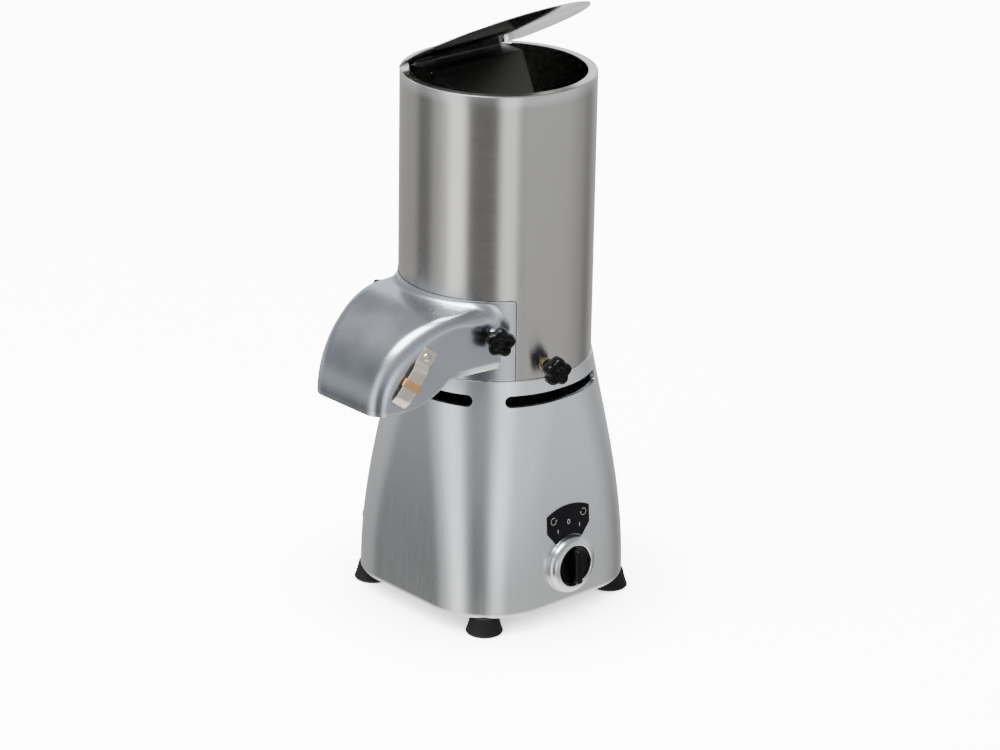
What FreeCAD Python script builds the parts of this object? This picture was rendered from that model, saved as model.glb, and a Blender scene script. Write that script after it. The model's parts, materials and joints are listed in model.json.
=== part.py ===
import FreeCAD, Part
import math
import os

import Sketcher
from FreeCAD import Placement, Rotation, Vector

# Bread crumb machine: a cast base with a vertical motor, a grinding chamber, a sheet hopper and a cast spout.
# Millimetres. Origin on the table under the shaft axis, +Z up, the switch faces -Y, the spout points to -X.

doc = FreeCAD.newDocument("bread_crumb_machine")
dims = doc.addObject("Spreadsheet::Sheet", "dims")

DRIVING = [
    # heights above the table
    ("foot_height", 20.0), ("seam_level", 266.0), ("rim_level", 565.0), ("deck_under", 256.0),
    ("floor_level", 288.0), ("notch_top", 351.6),
    # hopper
    ("tube_radius", 100.0), ("tube_wall", 1.2), ("rim_turn", 10.0), ("notch_half_angle", 60.4),
    # base casting
    ("base_half", 119.5), ("base_corner", 75.4), ("base_wall", 4.5), ("flare_power", 1.1),
    ("seam_step", 1.0), ("spigot_radius", 98.5), ("pilot_depth", 8.0), ("seal_radius", 14.0),
    ("vent_low", 239.0), ("vent_high", 251.0), ("vent_half_angle", 36.0), ("vent_cap", 3.5),
    ("foot_pitch", 88.5), ("boss_radius", 11.0), ("boss_height", 26.0), ("boss_roof", 4.0),
    ("plate_level", 22.0), ("plate_thick", 2.0), ("plate_gap", 1.2), ("small_screw", 2.0),
    ("lug_radius", 106.0), ("lug_height", 10.0), ("lug_half", 8.0), ("lug_roof", 2.0),
    ("stud_hole_depth", 20.0), ("motor_hole_depth", 14.0),
    # cable gland
    ("gland_x", -55.0), ("gland_level", 48.0), ("gland_radius", 8.0), ("cable_radius", 4.5),
    ("gland_nut_radius", 11.5), ("gland_dome", 10.0), ("gland_reach", 22.0), ("gland_tail", 10.0),
    # feet
    ("foot_top_radius", 14.5), ("foot_low_radius", 19.5), ("foot_screw_radius", 3.0), ("foot_recess_radius", 7.0),
    ("foot_recess", 10.0), ("foot_edge", 1.5), ("foot_lip", 2.0), ("foot_head_radius", 5.5), ("foot_head", 4.0),
    ("foot_screw_length", 28.0),
    # spout
    ("spout_reach", 203.0), ("elbow_radius", 91.0), ("mouth_level", 252.6), ("duct_wall", 4.0),
    ("duct_root_half", 82.5), ("duct_mouth_half", 50.5), ("duct_root_x", 58.0), ("duct_floor", 280.0),
    ("duct_round", 16.0), ("duct_start", 50.0), ("crown_slope", 3.0), ("lip_length", 18.0),
    ("belly_radius", 84.0), ("belly_start", 122.0), ("root_blend", 5.0), ("stud_boss_radius", 8.0),
    ("spout_seat", 109.0), ("flange_half_angle", 60.0), ("flange_inner", 97.0), ("flange_outer", 100.6),
    ("flange_corner", 3.0),
    # motor and shaft
    ("shaft_radius", 8.0), ("motor_radius", 58.0), ("motor_low", 130.0), ("motor_high", 236.0),
    ("bearing_radius", 20.0), ("bearing_bore", 8.5), ("core_radius", 30.4), ("core_low", 142.0),
    ("core_high", 216.0), ("flange_radius", 72.0), ("motor_screw_pitch", 65.0),
    ("motor_screw_length", 20.0), ("motor_head_radius", 4.5), ("motor_head", 5.0), ("bearing_width", 12.0),
    ("pilot_radius", 29.9), ("motor_flange", 8.0), ("end_shield", 14.0), ("housing_skin", 4.0), ("fin_half", 1.0),
    ("air_gap", 0.6), ("winding_inner", 33.0), ("winding_outer", 46.0), ("winding_bulge", 2.0),
    ("winding_low", 10.0), ("winding_high", 14.0), ("shaft_low", 98.0), ("thread_radius", 5.0),
    ("thread_length", 12.0), ("shaft_step", 4.0),
    # cooling fan and its cover
    ("fan_low", 100.0), ("fan_height", 12.0), ("fan_radius", 50.0), ("fan_hub", 16.0), ("blade_half", 1.0),
    ("cover_low", 92.0), ("cover_wall", 1.5), ("cover_slot_start", 14.0), ("cover_slot_end", 48.0),
    ("cover_slot_half", 3.0),
    # grinding set
    ("sweeper_radius", 91.0), ("sweeper_low", 290.5), ("sweeper_thick", 3.0), ("hub_radius", 22.0),
    ("hub_top", 340.0), ("hub_foot", 8.0), ("slot_width", 3.0), ("slot_margin", 5.0), ("ring_radius", 80.0),
    ("ring_wall", 2.0), ("ring_low", 302.0), ("ring_high", 352.0), ("vane_start", 60.0), ("vane_half", 2.0),
    ("vane_height", 6.0), ("beater_reach", 73.0), ("tooth_length", 8.0), ("tooth_half", 3.0), ("arm_half", 6.0),
    ("arm_height", 9.0), ("arm_low", 4.0), ("arm_high", 22.0), ("nut_radius", 9.0), ("nut_height", 8.0),
    ("collar_rise", 18.5), ("collar_high", 26.0), ("collar_skin", 1.5),
    # knobs
    ("knob_radius", 15.0), ("knob_thick", 13.0), ("knob_hub", 8.0), ("knob_hub_length", 5.0),
    ("lobe_radius", 6.0), ("valley_pitch", 20.0), ("knob_edge", 2.5), ("knob_bore", 14.0),
    ("stud_radius", 3.0), ("stud_start", 86.0), ("spout_stud", 22.0), ("hopper_stud", 32.0), ("stud_room", 0.3),
    ("collar_radius", 8.5), ("collar_thick", 4.0), ("long_hub", 11.0), ("running_gap", 0.05),
    ("spout_knob_angle", 50.5), ("spout_knob_level", 316.0),
    ("hopper_knob_angle", 101.0), ("hopper_knob_level", 279.5),
    # switch
    ("switch_level", 61.5), ("switch_front", 118.4), ("switch_tilt", 2.0), ("bezel_radius", 31.0),
    ("bezel_height", 12.0), ("bezel_foot", 2.5), ("handle_radius", 20.8), ("handle_gap", 0.4), ("stem_radius", 5.0),
    ("stem_length", 24.0), ("disc_low", 3.0), ("disc_thick", 6.0), ("grip_half", 5.5), ("grip_low", 8.5),
    ("grip_height", 10.0), ("grip_end", 20.0), ("case_half", 22.0), ("case_low", 50.0), ("case_deep", 40.0),
    ("neck_long", 11.0), ("switch_neck_radius", 11.0),
    # label plate
    ("label_front", 116.7), ("label_middle", 106.0), ("label_slope", 3.8), ("label_radius", 64.7),
    ("label_half", 29.0), ("label_foot", 18.0), ("label_drop", 6.0), ("label_thick", 1.0),
    # run capacitor and terminal block
    ("can_radius", 18.0), ("can_length", 74.0), ("can_x", -20.0), ("can_y", 62.0), ("can_lift", 20.2),
    ("clamp_start", 30.0), ("clamp_end", 44.0), ("clamp_skin", 1.5), ("block_x", -60.0), ("block_half_x", 10.0),
    ("block_half_y", 30.0), ("block_height", 16.0), ("well_radius", 3.0), ("well_first", -25.0),
    ("well_span", 50.0), ("well_depth", 8.0),
    # lid
    ("lid_radius", 101.5), ("lid_thick", 1.2), ("lid_gap", 0.3), ("hinge_y", 62.0), ("hinge_z", 568.4),
    ("lid_back", 3.5), ("lid_open", 29.5), ("pin_radius", 1.5), ("knuckle_radius", 2.9), ("knuckle_gap", 0.3),
    ("hinge_half", 58.0), ("lid_leaf_half", 34.7), ("leaf_width", 16.0), ("leaf_gap", 0.5), ("web_width", 6.0),
    # safety baffle in the mouth
    ("baffle_edge", 33.0), ("baffle_half", 61.0), ("baffle_tip_half", 25.0), ("baffle_length", 75.0),
    ("baffle_slope", 30.0), ("bead_radius", 1.1),
    # spout clips
    ("clip_x", -148.0), ("clip_level", 309.0), ("clip_lean", 36.0), ("clip_half", 9.0), ("clip_above", 8.0),
    ("clip_below", 55.0), ("clip_thick", 1.0), ("clip_stand", 3.6), ("clip_screw", 2.4), ("clip_end", 7.0),
    ("clip_end_lift", 1.0), ("clip_step_start", 8.0), ("clip_step_end", 16.0), ("clip_bend", 0.4),
    ("clip_head_radius", 4.6), ("clip_head_low", 1.2), ("clip_head_top", 4.3), ("clip_screw_deep", 5.5),
    ("band_start", 28.0), ("band_width", 11.0), ("band_thick", 1.4), ("band_gap", 0.1),
    # backing strips
    ("strip_first", 47.0), ("strip_step", 61.6), ("strip_last", 67.0), ("strip_thick", 1.7), ("strip_lift", 4.0),
]


def fill_sheet():
    for row, (alias, number) in enumerate(DRIVING, start=1):
        dims.set("A%d" % row, alias)
        dims.set("B%d" % row, "%g" % number)
        dims.setAlias("B%d" % row, alias)
    doc.recompute()


fill_sheet()
parts = []


def val(expression):
    """The number that an expression of sheet aliases gives now."""
    result = dims.evalExpression(expression)
    return float(getattr(result, "Value", result))


def bind(thing, **expressions):
    for prop, expression in expressions.items():
        thing.setExpression(prop.replace("__", "."), expression)


def keep(thing, label):
    """Give a finished sub-part the name of its node."""
    thing.Label = label
    parts.append(thing)
    return thing


def new_body(label):
    body = doc.addObject("PartDesign::Body", label)
    return keep(body, label)


def base_plane(body, role):
    return next(item for item in body.Origin.OriginFeatures if item.Role == role)


def new_sketch(body, role, name, lift=None, offset=None):
    """A sketch on one of the body's own origin planes, lifted along its normal by an expression."""
    sketch = body.newObject("Sketcher::SketchObject", name)
    sketch.AttachmentSupport = [(base_plane(body, role), "")]
    sketch.MapMode = "FlatFace"
    if offset is not None:
        sketch.AttachmentOffset = offset
    if lift is not None:
        sketch.setExpression("AttachmentOffset.Base.z", lift)
    return sketch


def pin_point(sketch, geo, pos, ex, ey):
    """Hold one sketch point at two expressions, or on an axis where the number is zero."""
    for kind, axis, expression in (("DistanceX", -2, ex), ("DistanceY", -1, ey)):
        number = val(expression)
        if abs(number) < 1e-9:
            sketch.addConstraint(Sketcher.Constraint("PointOnObject", geo, pos, axis))
        else:
            index = sketch.addConstraint(Sketcher.Constraint(kind, -1, 1, geo, pos, number))
            sketch.setExpression("Constraints[%d]" % index, expression)


def arc_between(start, finish, radius, side):
    """An arc from start to finish with its centre on the left (side 1) or right (side -1) of the way."""
    chord = finish - start
    middle = (start + finish) * 0.5
    rise = math.sqrt(max(radius ** 2 - chord.Length ** 2 / 4, 0))
    centre = middle + Vector(-chord.y, chord.x, 0).normalize() * rise * side
    circle = Part.Circle(centre, Vector(0, 0, 1), radius)
    ends = (start, finish) if side > 0 else (finish, start)
    angles = [math.atan2(end.y - centre.y, end.x - centre.x) for end in ends]
    return Part.ArcOfCircle(circle, angles[0], angles[1] if angles[1] > angles[0] else angles[1] + 2 * math.pi)


def outline(sketch, points):
    """A closed outline through (x, y) expressions; (x, y, radius, side) starts an arc to the next point."""
    spots = [Vector(val(point[0]), val(point[1]), 0) for point in points]
    made = []
    for number, point in enumerate(points):
        here, there = spots[number], spots[(number + 1) % len(points)]
        if len(point) == 2:
            made.append((sketch.addGeometry(Part.LineSegment(here, there)), 1, 2))
            continue
        radius, side = point[2:]
        geo = sketch.addGeometry(arc_between(here, there, val(radius), side))
        made.append((geo, 1, 2) if side > 0 else (geo, 2, 1))
    for number, (geo, begin, finish) in enumerate(made):
        following = made[(number + 1) % len(made)]
        sketch.addConstraint(Sketcher.Constraint("Coincident", geo, finish, following[0], following[1]))
    for (geo, begin, finish), point in zip(made, points):
        pin_point(sketch, geo, begin, point[0], point[1])
        if len(point) == 4:
            index = sketch.addConstraint(Sketcher.Constraint("Radius", geo, val(point[2])))
            sketch.setExpression("Constraints[%d]" % index, point[2])


def ring_of(sketch, radius, ex="0", ey="0"):
    """A circle with its centre and radius held by expressions."""
    circle = Part.Circle(Vector(val(ex), val(ey), 0), Vector(0, 0, 1), val(radius))
    geo = sketch.addGeometry(circle)
    pin_point(sketch, geo, 3, ex, ey)
    index = sketch.addConstraint(Sketcher.Constraint("Radius", geo, val(radius)))
    sketch.setExpression("Constraints[%d]" % index, radius)


def rounded_square(sketch, half, corner):
    """A square with round corners about the origin, from expressions for its half side and corner radius."""
    side, turn = val(half), val(corner)
    flat = side - turn
    centres = [(flat, flat), (-flat, flat), (-flat, -flat), (flat, -flat)]
    arcs = []
    for number, (cx, cy) in enumerate(centres):
        circle = Part.Circle(Vector(cx, cy, 0), Vector(0, 0, 1), turn)
        start = math.radians(90 * number)
        arcs.append(sketch.addGeometry(Part.ArcOfCircle(circle, start, start + math.pi / 2)))
    lines = []
    for number in range(4):
        begin = sketch.getPoint(arcs[number], 2)
        finish = sketch.getPoint(arcs[(number + 1) % 4], 1)
        lines.append(sketch.addGeometry(Part.LineSegment(begin, finish)))
    for number in range(4):
        sketch.addConstraint(Sketcher.Constraint("Tangent", arcs[number], 2, lines[number], 1))
        sketch.addConstraint(Sketcher.Constraint("Tangent", lines[number], 2, arcs[(number + 1) % 4], 1))
    for number in (1, 2, 3):
        sketch.addConstraint(Sketcher.Constraint("Equal", arcs[0], arcs[number]))
    sketch.addConstraint(Sketcher.Constraint("Horizontal", lines[0]))
    sketch.addConstraint(Sketcher.Constraint("Vertical", lines[1]))
    reach = "%s - (%s)" % (half, corner)
    pin_point(sketch, arcs[0], 3, reach, reach)
    pin_point(sketch, arcs[2], 3, "-(%s)" % reach, "-(%s)" % reach)
    index = sketch.addConstraint(Sketcher.Constraint("Radius", arcs[0], turn))
    sketch.setExpression("Constraints[%d]" % index, corner)


def pad(body, sketch, length, name, reverse=False, midplane=False):
    feature = body.newObject("PartDesign::Pad", name)
    feature.Profile = sketch
    feature.Reversed = reverse
    feature.Midplane = midplane
    feature.setExpression("Length", length)
    return feature


def pocket(body, sketch, length, name, reverse=False, midplane=False):
    feature = body.newObject("PartDesign::Pocket", name)
    feature.Profile = sketch
    feature.Reversed = reverse
    feature.Midplane = midplane
    feature.setExpression("Length", length)
    return feature


def turned(body, sketch, name, kind="Revolution", angle=None):
    """Revolve a sketch about the body's own Z axis."""
    feature = body.newObject("PartDesign::" + kind, name)
    feature.Profile = sketch
    feature.ReferenceAxis = (sketch, ["V_Axis"])
    if angle is None:
        feature.Angle = 360.0
    else:
        feature.Midplane = True
        feature.setExpression("Angle", angle)
    return feature


def around(body, features, count, name):
    """Repeat features round the body's Z axis."""
    pattern = body.newObject("PartDesign::PolarPattern", name)
    pattern.Originals = features
    pattern.Axis = (base_plane(body, "Z_Axis"), [""])
    pattern.Angle = 360.0
    pattern.Occurrences = count
    body.Tip = pattern
    return pattern


def edges_where(shape, test):
    return ["Edge%d" % (index + 1) for index, edge in enumerate(shape.Edges) if test(edge)]


def turned_part(label, points):
    """A sub-part that is one profile revolved about its own Z axis."""
    body = new_body(label)
    sketch = new_sketch(body, "XZ_Plane", label + "_profile")
    outline(sketch, points)
    turned(body, sketch, label + "_turn")
    return body


# Base casting: rounded-square sections from a circle at the hopper's seam to the square foot line.
SECTION_SHARES = (0.0, 0.15, 0.33, 0.52, 0.74, 1.0)


def flare_sections(body, prefix, inset, top_level):
    """Sketches of the bell at several heights, each drawn in by an inset."""
    made = []
    drop = "(dims.seam_level - dims.foot_height)"
    spread = "(dims.base_half - dims.tube_radius - dims.seam_step)"
    for number, share in enumerate(SECTION_SHARES):
        level = top_level if number == 0 else "dims.seam_level - %s * %g" % (drop, share)
        flare = "sin(90deg * (dims.seam_level - (%s)) / %s)^dims.flare_power" % (level, drop)
        half = "dims.tube_radius + dims.seam_step + %s * %s - %s" % (spread, flare, inset)
        corner = "dims.tube_radius - (dims.tube_radius - dims.base_corner) * %s - %s" % (flare, inset)
        sketch = new_sketch(body, "XY_Plane", "%s_%d" % (prefix, number), lift=level)
        rounded_square(sketch, half, corner)
        made.append(sketch)
    return made


def loft_through(body, kind, sketches, name):
    loft = body.newObject("PartDesign::" + kind, name)
    loft.Profile = sketches[0]
    loft.Sections = sketches[1:]
    return loft


def hopper_knob_angles():
    """Front and rear knob directions, measured about +Z from +X."""
    return (-val("dims.hopper_knob_angle"), val("dims.hopper_knob_angle"))


def swung(angle, start="0"):
    """An offset for a YZ sketch that swings its normal round the shaft axis and moves it out by a radius."""
    turn = Rotation(Vector(0, 1, 0), angle)
    return Placement(turn.multVec(Vector(0, 0, val(start))), turn)


def make_base():
    """The hollow bell with its platform, holes, vents, bosses and lugs."""
    body = new_body("base_housing")
    loft_through(body, "AdditiveLoft", flare_sections(body, "outer", "0", "dims.seam_level"), "bell")
    hollow = flare_sections(body, "inner", "dims.base_wall", "dims.deck_under")
    loft_through(body, "SubtractiveLoft", hollow, "hollow")
    make_platform(body)
    make_tapped_holes(body)
    make_vents(body)
    make_corner_bosses(body)
    make_plate_lugs(body)
    make_front_and_back_holes(body)


def make_platform(body):
    """The round platform that the hopper fits over, bored for the motor and cut back for the spout's flange."""
    platform = new_sketch(body, "XY_Plane", "platform_ring", lift="dims.deck_under")
    ring_of(platform, "dims.spigot_radius")
    pad(body, platform, "dims.floor_level - dims.deck_under", "platform")
    bore = new_sketch(body, "XY_Plane", "pilot_circle", lift="dims.deck_under - 1")
    ring_of(bore, "dims.pilot_radius + dims.running_gap")
    pocket(body, bore, "dims.pilot_depth + 1", "pilot_bore", reverse=True)
    shaft_hole = new_sketch(body, "XY_Plane", "shaft_circle", lift="dims.deck_under - 1")
    ring_of(shaft_hole, "dims.seal_radius")
    pocket(body, shaft_hole, "dims.floor_level", "shaft_hole", reverse=True)
    recess = new_sketch(body, "XZ_Plane", "flange_recess_section")
    near, far = "-(dims.flange_inner - 0.5)", "-(dims.tube_radius + 10)"
    low, high = "dims.seam_level + 0.01", "dims.floor_level + 1"
    outline(recess, [(near, low), (far, low), (far, high), (near, high)])
    turned(body, recess, "flange_recess", kind="Groove", angle="2 * dims.flange_half_angle + 3")


def make_tapped_holes(body):
    """Tapped holes for the hopper's two studs and the motor's four screws."""
    for angle, name in zip(hopper_knob_angles(), ("front", "rear")):
        tapped = new_sketch(body, "YZ_Plane", "tapped_circle_" + name, offset=swung(angle, "dims.stud_start"))
        ring_of(tapped, "dims.stud_radius", "0", "dims.hopper_knob_level")
        pocket(body, tapped, "dims.stud_hole_depth", "tapped_" + name, reverse=True)
    tapped = new_sketch(body, "XY_Plane", "motor_hole_circle", lift="dims.deck_under")
    ring_of(tapped, "dims.stud_radius", "dims.motor_screw_pitch", "0")
    motor_hole = pocket(body, tapped, "dims.motor_hole_depth", "motor_hole", reverse=True)
    around(body, [motor_hole], 4, "motor_holes")


def make_vents(body):
    """Four long slots that follow the wall, each with round ends, under the top edge."""
    middle = "(dims.vent_low + dims.vent_high) / 2"
    half_height = "(dims.vent_high - dims.vent_low) / 2"
    cap_angle = "dims.vent_half_angle - dims.vent_cap"
    band = new_sketch(body, "XZ_Plane", "vent_band")
    near, far = "dims.tube_radius - 16", "dims.tube_radius + 26"
    low, high = "dims.vent_low", "dims.vent_high"
    outline(band, [(near, low), (far, low), (far, high), (near, high)])
    slots = [turned(body, band, "vent_slot", kind="Groove", angle="2 * (%s)" % cap_angle)]
    for side, name in ((1, "vent_end_a"), (-1, "vent_end_b")):
        turn = Placement(Vector(), Rotation(Vector(0, side, 0), val(cap_angle)))
        cap = new_sketch(body, "YZ_Plane", name + "_circle", offset=turn)
        cap.setExpression("AttachmentOffset.Rotation.Angle", cap_angle)
        ring_of(cap, half_height, "0", middle)
        slots.append(pocket(body, cap, "dims.base_half + 20", name, reverse=True))
    around(body, slots, 4, "vents")


def make_corner_bosses(body):
    """Bosses in the four corners that take the foot screws."""
    sketch = new_sketch(body, "XY_Plane", "boss_circle", lift="dims.foot_height")
    ring_of(sketch, "dims.boss_radius", "dims.foot_pitch", "dims.foot_pitch")
    boss = pad(body, sketch, "dims.boss_height", "foot_boss")
    hole = new_sketch(body, "XY_Plane", "boss_hole_circle", lift="dims.foot_height")
    ring_of(hole, "dims.foot_screw_radius", "dims.foot_pitch", "dims.foot_pitch")
    drilled = pocket(body, hole, "dims.boss_height - dims.boss_roof", "boss_hole", reverse=True)
    around(body, [boss, drilled], 4, "foot_bosses")


def make_plate_lugs(body):
    """Four lugs inside the foot line that take the bottom plate's screws."""
    lug = new_sketch(body, "XY_Plane", "lug_outline", lift="dims.plate_level + dims.plate_thick")
    inner, outer, half = "dims.lug_radius - 7", "dims.base_half - 2", "dims.lug_half"
    outline(lug, [(inner, "-" + half), (outer, "-" + half), (outer, half), (inner, half)])
    raised = pad(body, lug, "dims.lug_height", "plate_lug")
    hole = new_sketch(body, "XY_Plane", "lug_hole_circle", lift="dims.plate_level + dims.plate_thick")
    ring_of(hole, "dims.small_screw", "dims.lug_radius", "0")
    drilled = pocket(body, hole, "dims.lug_height - dims.lug_roof", "lug_hole", reverse=True)
    around(body, [raised, drilled], 4, "plate_lugs")


def make_front_and_back_holes(body):
    """A flat seat and a hole for the switch in front, and the cable gland's hole behind."""
    tilt = Rotation(Vector(1, 0, 0), -val("dims.switch_tilt"))
    level, front = val("dims.switch_level"), val("dims.switch_front")
    seat = new_sketch(body, "XZ_Plane", "switch_seat_circle", offset=Placement(Vector(0, level, front), tilt))
    ring_of(seat, "dims.bezel_radius + 0.3")
    pocket(body, seat, "8", "switch_seat", reverse=True)
    deeper = Placement(Vector(0, level, front), tilt).multiply(Placement(Vector(0, 0, -12), Rotation()))
    hole = new_sketch(body, "XZ_Plane", "switch_hole_circle", offset=deeper)
    ring_of(hole, "dims.switch_neck_radius")
    pocket(body, hole, "24", "switch_hole", reverse=True)
    back = Placement(Vector(val("dims.gland_x"), val("dims.gland_level"), -val("dims.base_half") - 4), Rotation())
    gland = new_sketch(body, "XZ_Plane", "gland_circle", offset=back)
    ring_of(gland, "dims.gland_radius")
    pocket(body, gland, "16", "gland_hole", reverse=True)


# Spout: a cast elbow hood on a curved flange that fills the notch of the hopper tube.
def elbow_form(name, inset, tail):
    """The hood's outer form, or with an inset the passage inside it. Tail gives the lower part of the outline."""
    body = doc.addObject("PartDesign::Body", name)
    side = new_sketch(body, "XZ_Plane", name + "_side")
    radius = "(dims.elbow_radius - %s)" % inset
    top_x = "-(dims.spout_reach - dims.elbow_radius) - %s * sin(dims.crown_slope * 1deg)" % radius
    top_z = "dims.mouth_level + %s * cos(dims.crown_slope * 1deg)" % radius
    root_z = "%s + (-dims.duct_start - (%s)) * tan(dims.crown_slope * 1deg)" % (top_z, top_x)
    crown = [("-dims.duct_start", root_z), (top_x, top_z, radius, 1)]
    outline(side, crown + [("-(dims.spout_reach - %s)" % inset, "dims.mouth_level")] + tail)
    pad(body, side, "240", name + "_block", midplane=True)
    plan = new_sketch(body, "XY_Plane", name + "_plan", lift="200")
    slope = "((dims.duct_root_half - dims.duct_mouth_half) / (dims.spout_reach - dims.duct_root_x))"
    wide = "dims.duct_root_half + (dims.duct_root_x - dims.duct_start) * %s - %s" % (slope, inset)
    slim = "dims.duct_mouth_half - 20 * %s - %s" % (slope, inset)
    near, far = "-dims.duct_start", "-dims.spout_reach - 20"
    for way in ("", "-"):
        corners = [(near, way + "(%s)" % wide), (far, way + "(%s)" % slim), (far, way + "130"), (near, way + "130")]
        outline(plan, corners)
    pocket(body, plan, "200", name + "_taper", reverse=True)
    doc.recompute()
    return body


def round_crown(body, radius, name):
    """Round the two long edges where the crown meets the side walls."""
    crown_low, crown_high = val("dims.mouth_level"), val("dims.duct_floor") + 20

    def on_crown(edge):
        box = edge.BoundBox
        runs_out = box.XLength > 20 and 3 < box.YLength < 40
        return runs_out and box.ZMax > crown_high and box.ZMin > crown_low - 1

    base = body.Tip
    feature = body.newObject("PartDesign::Fillet", name)
    feature.Base = (base, edges_where(base.Shape, on_crown))
    feature.setExpression("Radius", radius)
    doc.recompute()


def sector(name, inner, outer, low, high, half_angle):
    """A piece of ring about the shaft axis on the spout's side, between two heights."""
    body = doc.addObject("PartDesign::Body", name)
    sketch = new_sketch(body, "XZ_Plane", name + "_section")
    near, far = "-(%s)" % inner, "-(%s)" % outer
    outline(sketch, [(far, low), (near, low), (near, high), (far, high)])
    turned(body, sketch, name + "_turn", angle="2 * (%s)" % half_angle)
    return body


def boolean(kind, name, base, *tools):
    """A cut of one tool, or a join of several pieces."""
    thing = doc.addObject("Part::" + kind, name)
    if kind == "Cut":
        thing.Base = base
        thing.Tool = tools[0]
    else:
        thing.Shapes = [base, *tools]
        thing.Refine = True
    return thing


def round_bar(name, radius, length, place):
    bar = doc.addObject("Part::Cylinder", name)
    bind(bar, Radius=radius, Height=length)
    bar.Placement = place
    return bar


def radial_place(angle, level, start):
    """A placement whose +Z points outward from the shaft axis at an angle about it."""
    turn = Rotation(Vector(0, 0, 1), angle).multiply(Rotation(Vector(0, 1, 0), 90))
    reach = Rotation(Vector(0, 0, 1), angle).multVec(Vector(start, 0, level))
    return Placement(reach, turn)


def spout_knob_angles():
    """Front and rear knob directions, measured about +Z from +X."""
    return (180 + val("dims.spout_knob_angle"), 180 - val("dims.spout_knob_angle"))


def edge_round(name, base, radius, test):
    """Round those edges of a shape that pass a test."""
    doc.recompute()
    feature = doc.addObject("Part::Fillet", name)
    feature.Base = base
    picked = [index for index, edge in enumerate(base.Shape.Edges, start=1) if test(edge)]
    feature.Edges = [(index, val(radius), val(radius)) for index in picked]
    return feature


def crown_root(edge):
    """True for the edge where the hood's crown meets the outside of the flange."""
    box, end = edge.BoundBox, edge.Vertexes[0].Point
    on_flange = abs(math.hypot(end.x, end.y) - val("dims.flange_outer")) < 0.1
    high = val("dims.duct_floor") + 20 < box.ZMin < box.ZMax < val("dims.notch_top") - 2
    return on_flange and high and box.YLength > 100


def make_spout():
    """The cast hood: solid form less the passage, blended into its flange, with bosses and holes for the studs."""
    sill = "dims.duct_floor"
    lip = "-(dims.spout_reach - dims.lip_length)"
    outer = elbow_form("hood", "0", [
        (lip, "dims.mouth_level", "dims.belly_radius", 1), ("-dims.belly_start", sill), ("-dims.duct_start", sill)])
    round_crown(outer, "dims.duct_round", "hood_round")
    below = "dims.mouth_level - 15"
    back = "-(dims.belly_start + dims.duct_wall)"
    inner_sill = "dims.duct_floor + dims.duct_wall"
    inner = elbow_form("passage", "dims.duct_wall", [
        ("-(dims.spout_reach - dims.duct_wall)", below), (back, below), (back, inner_sill),
        ("-dims.duct_start", inner_sill)])
    round_crown(inner, "dims.duct_round - dims.duct_wall", "passage_round")
    core = round_bar("spout_core", "dims.flange_inner + 1", "400", Placement())
    hood = boolean("Cut", "hood_trimmed", outer, core)
    flange = sector("flange", "dims.flange_inner", "dims.flange_outer", "dims.seam_level + 0.4",
                    "dims.notch_top - 0.4", "dims.flange_half_angle")
    top = val("dims.notch_top - 0.4")
    corners = edge_round("flange_corners", flange, "dims.flange_corner",
                         lambda edge: edge.BoundBox.ZMin > top - 0.1 and edge.Length < 10)
    shell = boolean("Cut", "hood_shell", boolean("MultiFuse", "hood_and_flange", hood, corners), inner)
    blend = edge_round("root_blend", shell, "dims.root_blend", crown_root)
    level = val("dims.spout_knob_level")
    seats = []
    holes = []
    for number, angle in enumerate(spout_knob_angles()):
        start = val("dims.flange_inner")
        seats.append(round_bar("stud_boss_%d" % number, "dims.stud_boss_radius",
                               "dims.spout_seat - dims.flange_inner", radial_place(angle, level, start)))
        holes.append(round_bar("stud_hole_%d" % number, "dims.stud_radius + dims.stud_room", "30",
                               radial_place(angle, level, start - 5)))
    for side in (-1, 1):
        inward = clip_place(side).multiply(Placement(Vector(0, 0, -8), Rotation()))
        holes.append(round_bar("clip_hole_%d" % (side + 1), "dims.clip_screw", "12", inward))
    bossed = boolean("MultiFuse", "hood_with_bosses", blend, *seats)
    keep(boolean("Cut", "spout", bossed, boolean("MultiFuse", "stud_holes", *holes)), "spout")


def make_hopper():
    """The sheet tube with its turned-in rim, open at the foot where the spout's flange sits."""
    body = new_body("hopper_tube")
    inner = "dims.tube_radius - dims.tube_wall"
    lip = "dims.rim_level - dims.tube_wall"
    sketch = new_sketch(body, "XZ_Plane", "tube_profile")
    outline(sketch, [
        (inner, "dims.seam_level + 0.2"), ("dims.tube_radius", "dims.seam_level + 0.2"),
        ("dims.tube_radius", "dims.rim_level"), ("dims.tube_radius - dims.rim_turn", "dims.rim_level"),
        ("dims.tube_radius - dims.rim_turn", lip), (inner, lip)])
    turned(body, sketch, "tube_turn")
    notch = new_sketch(body, "YZ_Plane", "notch_outline")
    half = "dims.tube_radius * sin(dims.notch_half_angle * 1deg)"
    turn = "(dims.flange_corner + 0.4)"
    low = "dims.seam_level - 5"
    outline(notch, [
        ("-(%s)" % half, low), (half, low), (half, "dims.notch_top - %s" % turn, turn, 1),
        ("%s - %s" % (half, turn), "dims.notch_top"),
        ("-(%s - %s)" % (half, turn), "dims.notch_top", turn, 1), ("-(%s)" % half, "dims.notch_top - %s" % turn)])
    pocket(body, notch, "dims.tube_radius + 5", "notch")
    for angle, name in zip(hopper_knob_angles(), ("front", "rear")):
        hole = new_sketch(body, "YZ_Plane", "stud_circle_" + name, offset=swung(angle))
        ring_of(hole, "dims.stud_radius + dims.stud_room + 0.1", "0", "dims.hopper_knob_level")
        pocket(body, hole, "dims.tube_radius + 5", "stud_hole_" + name, reverse=True)


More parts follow.
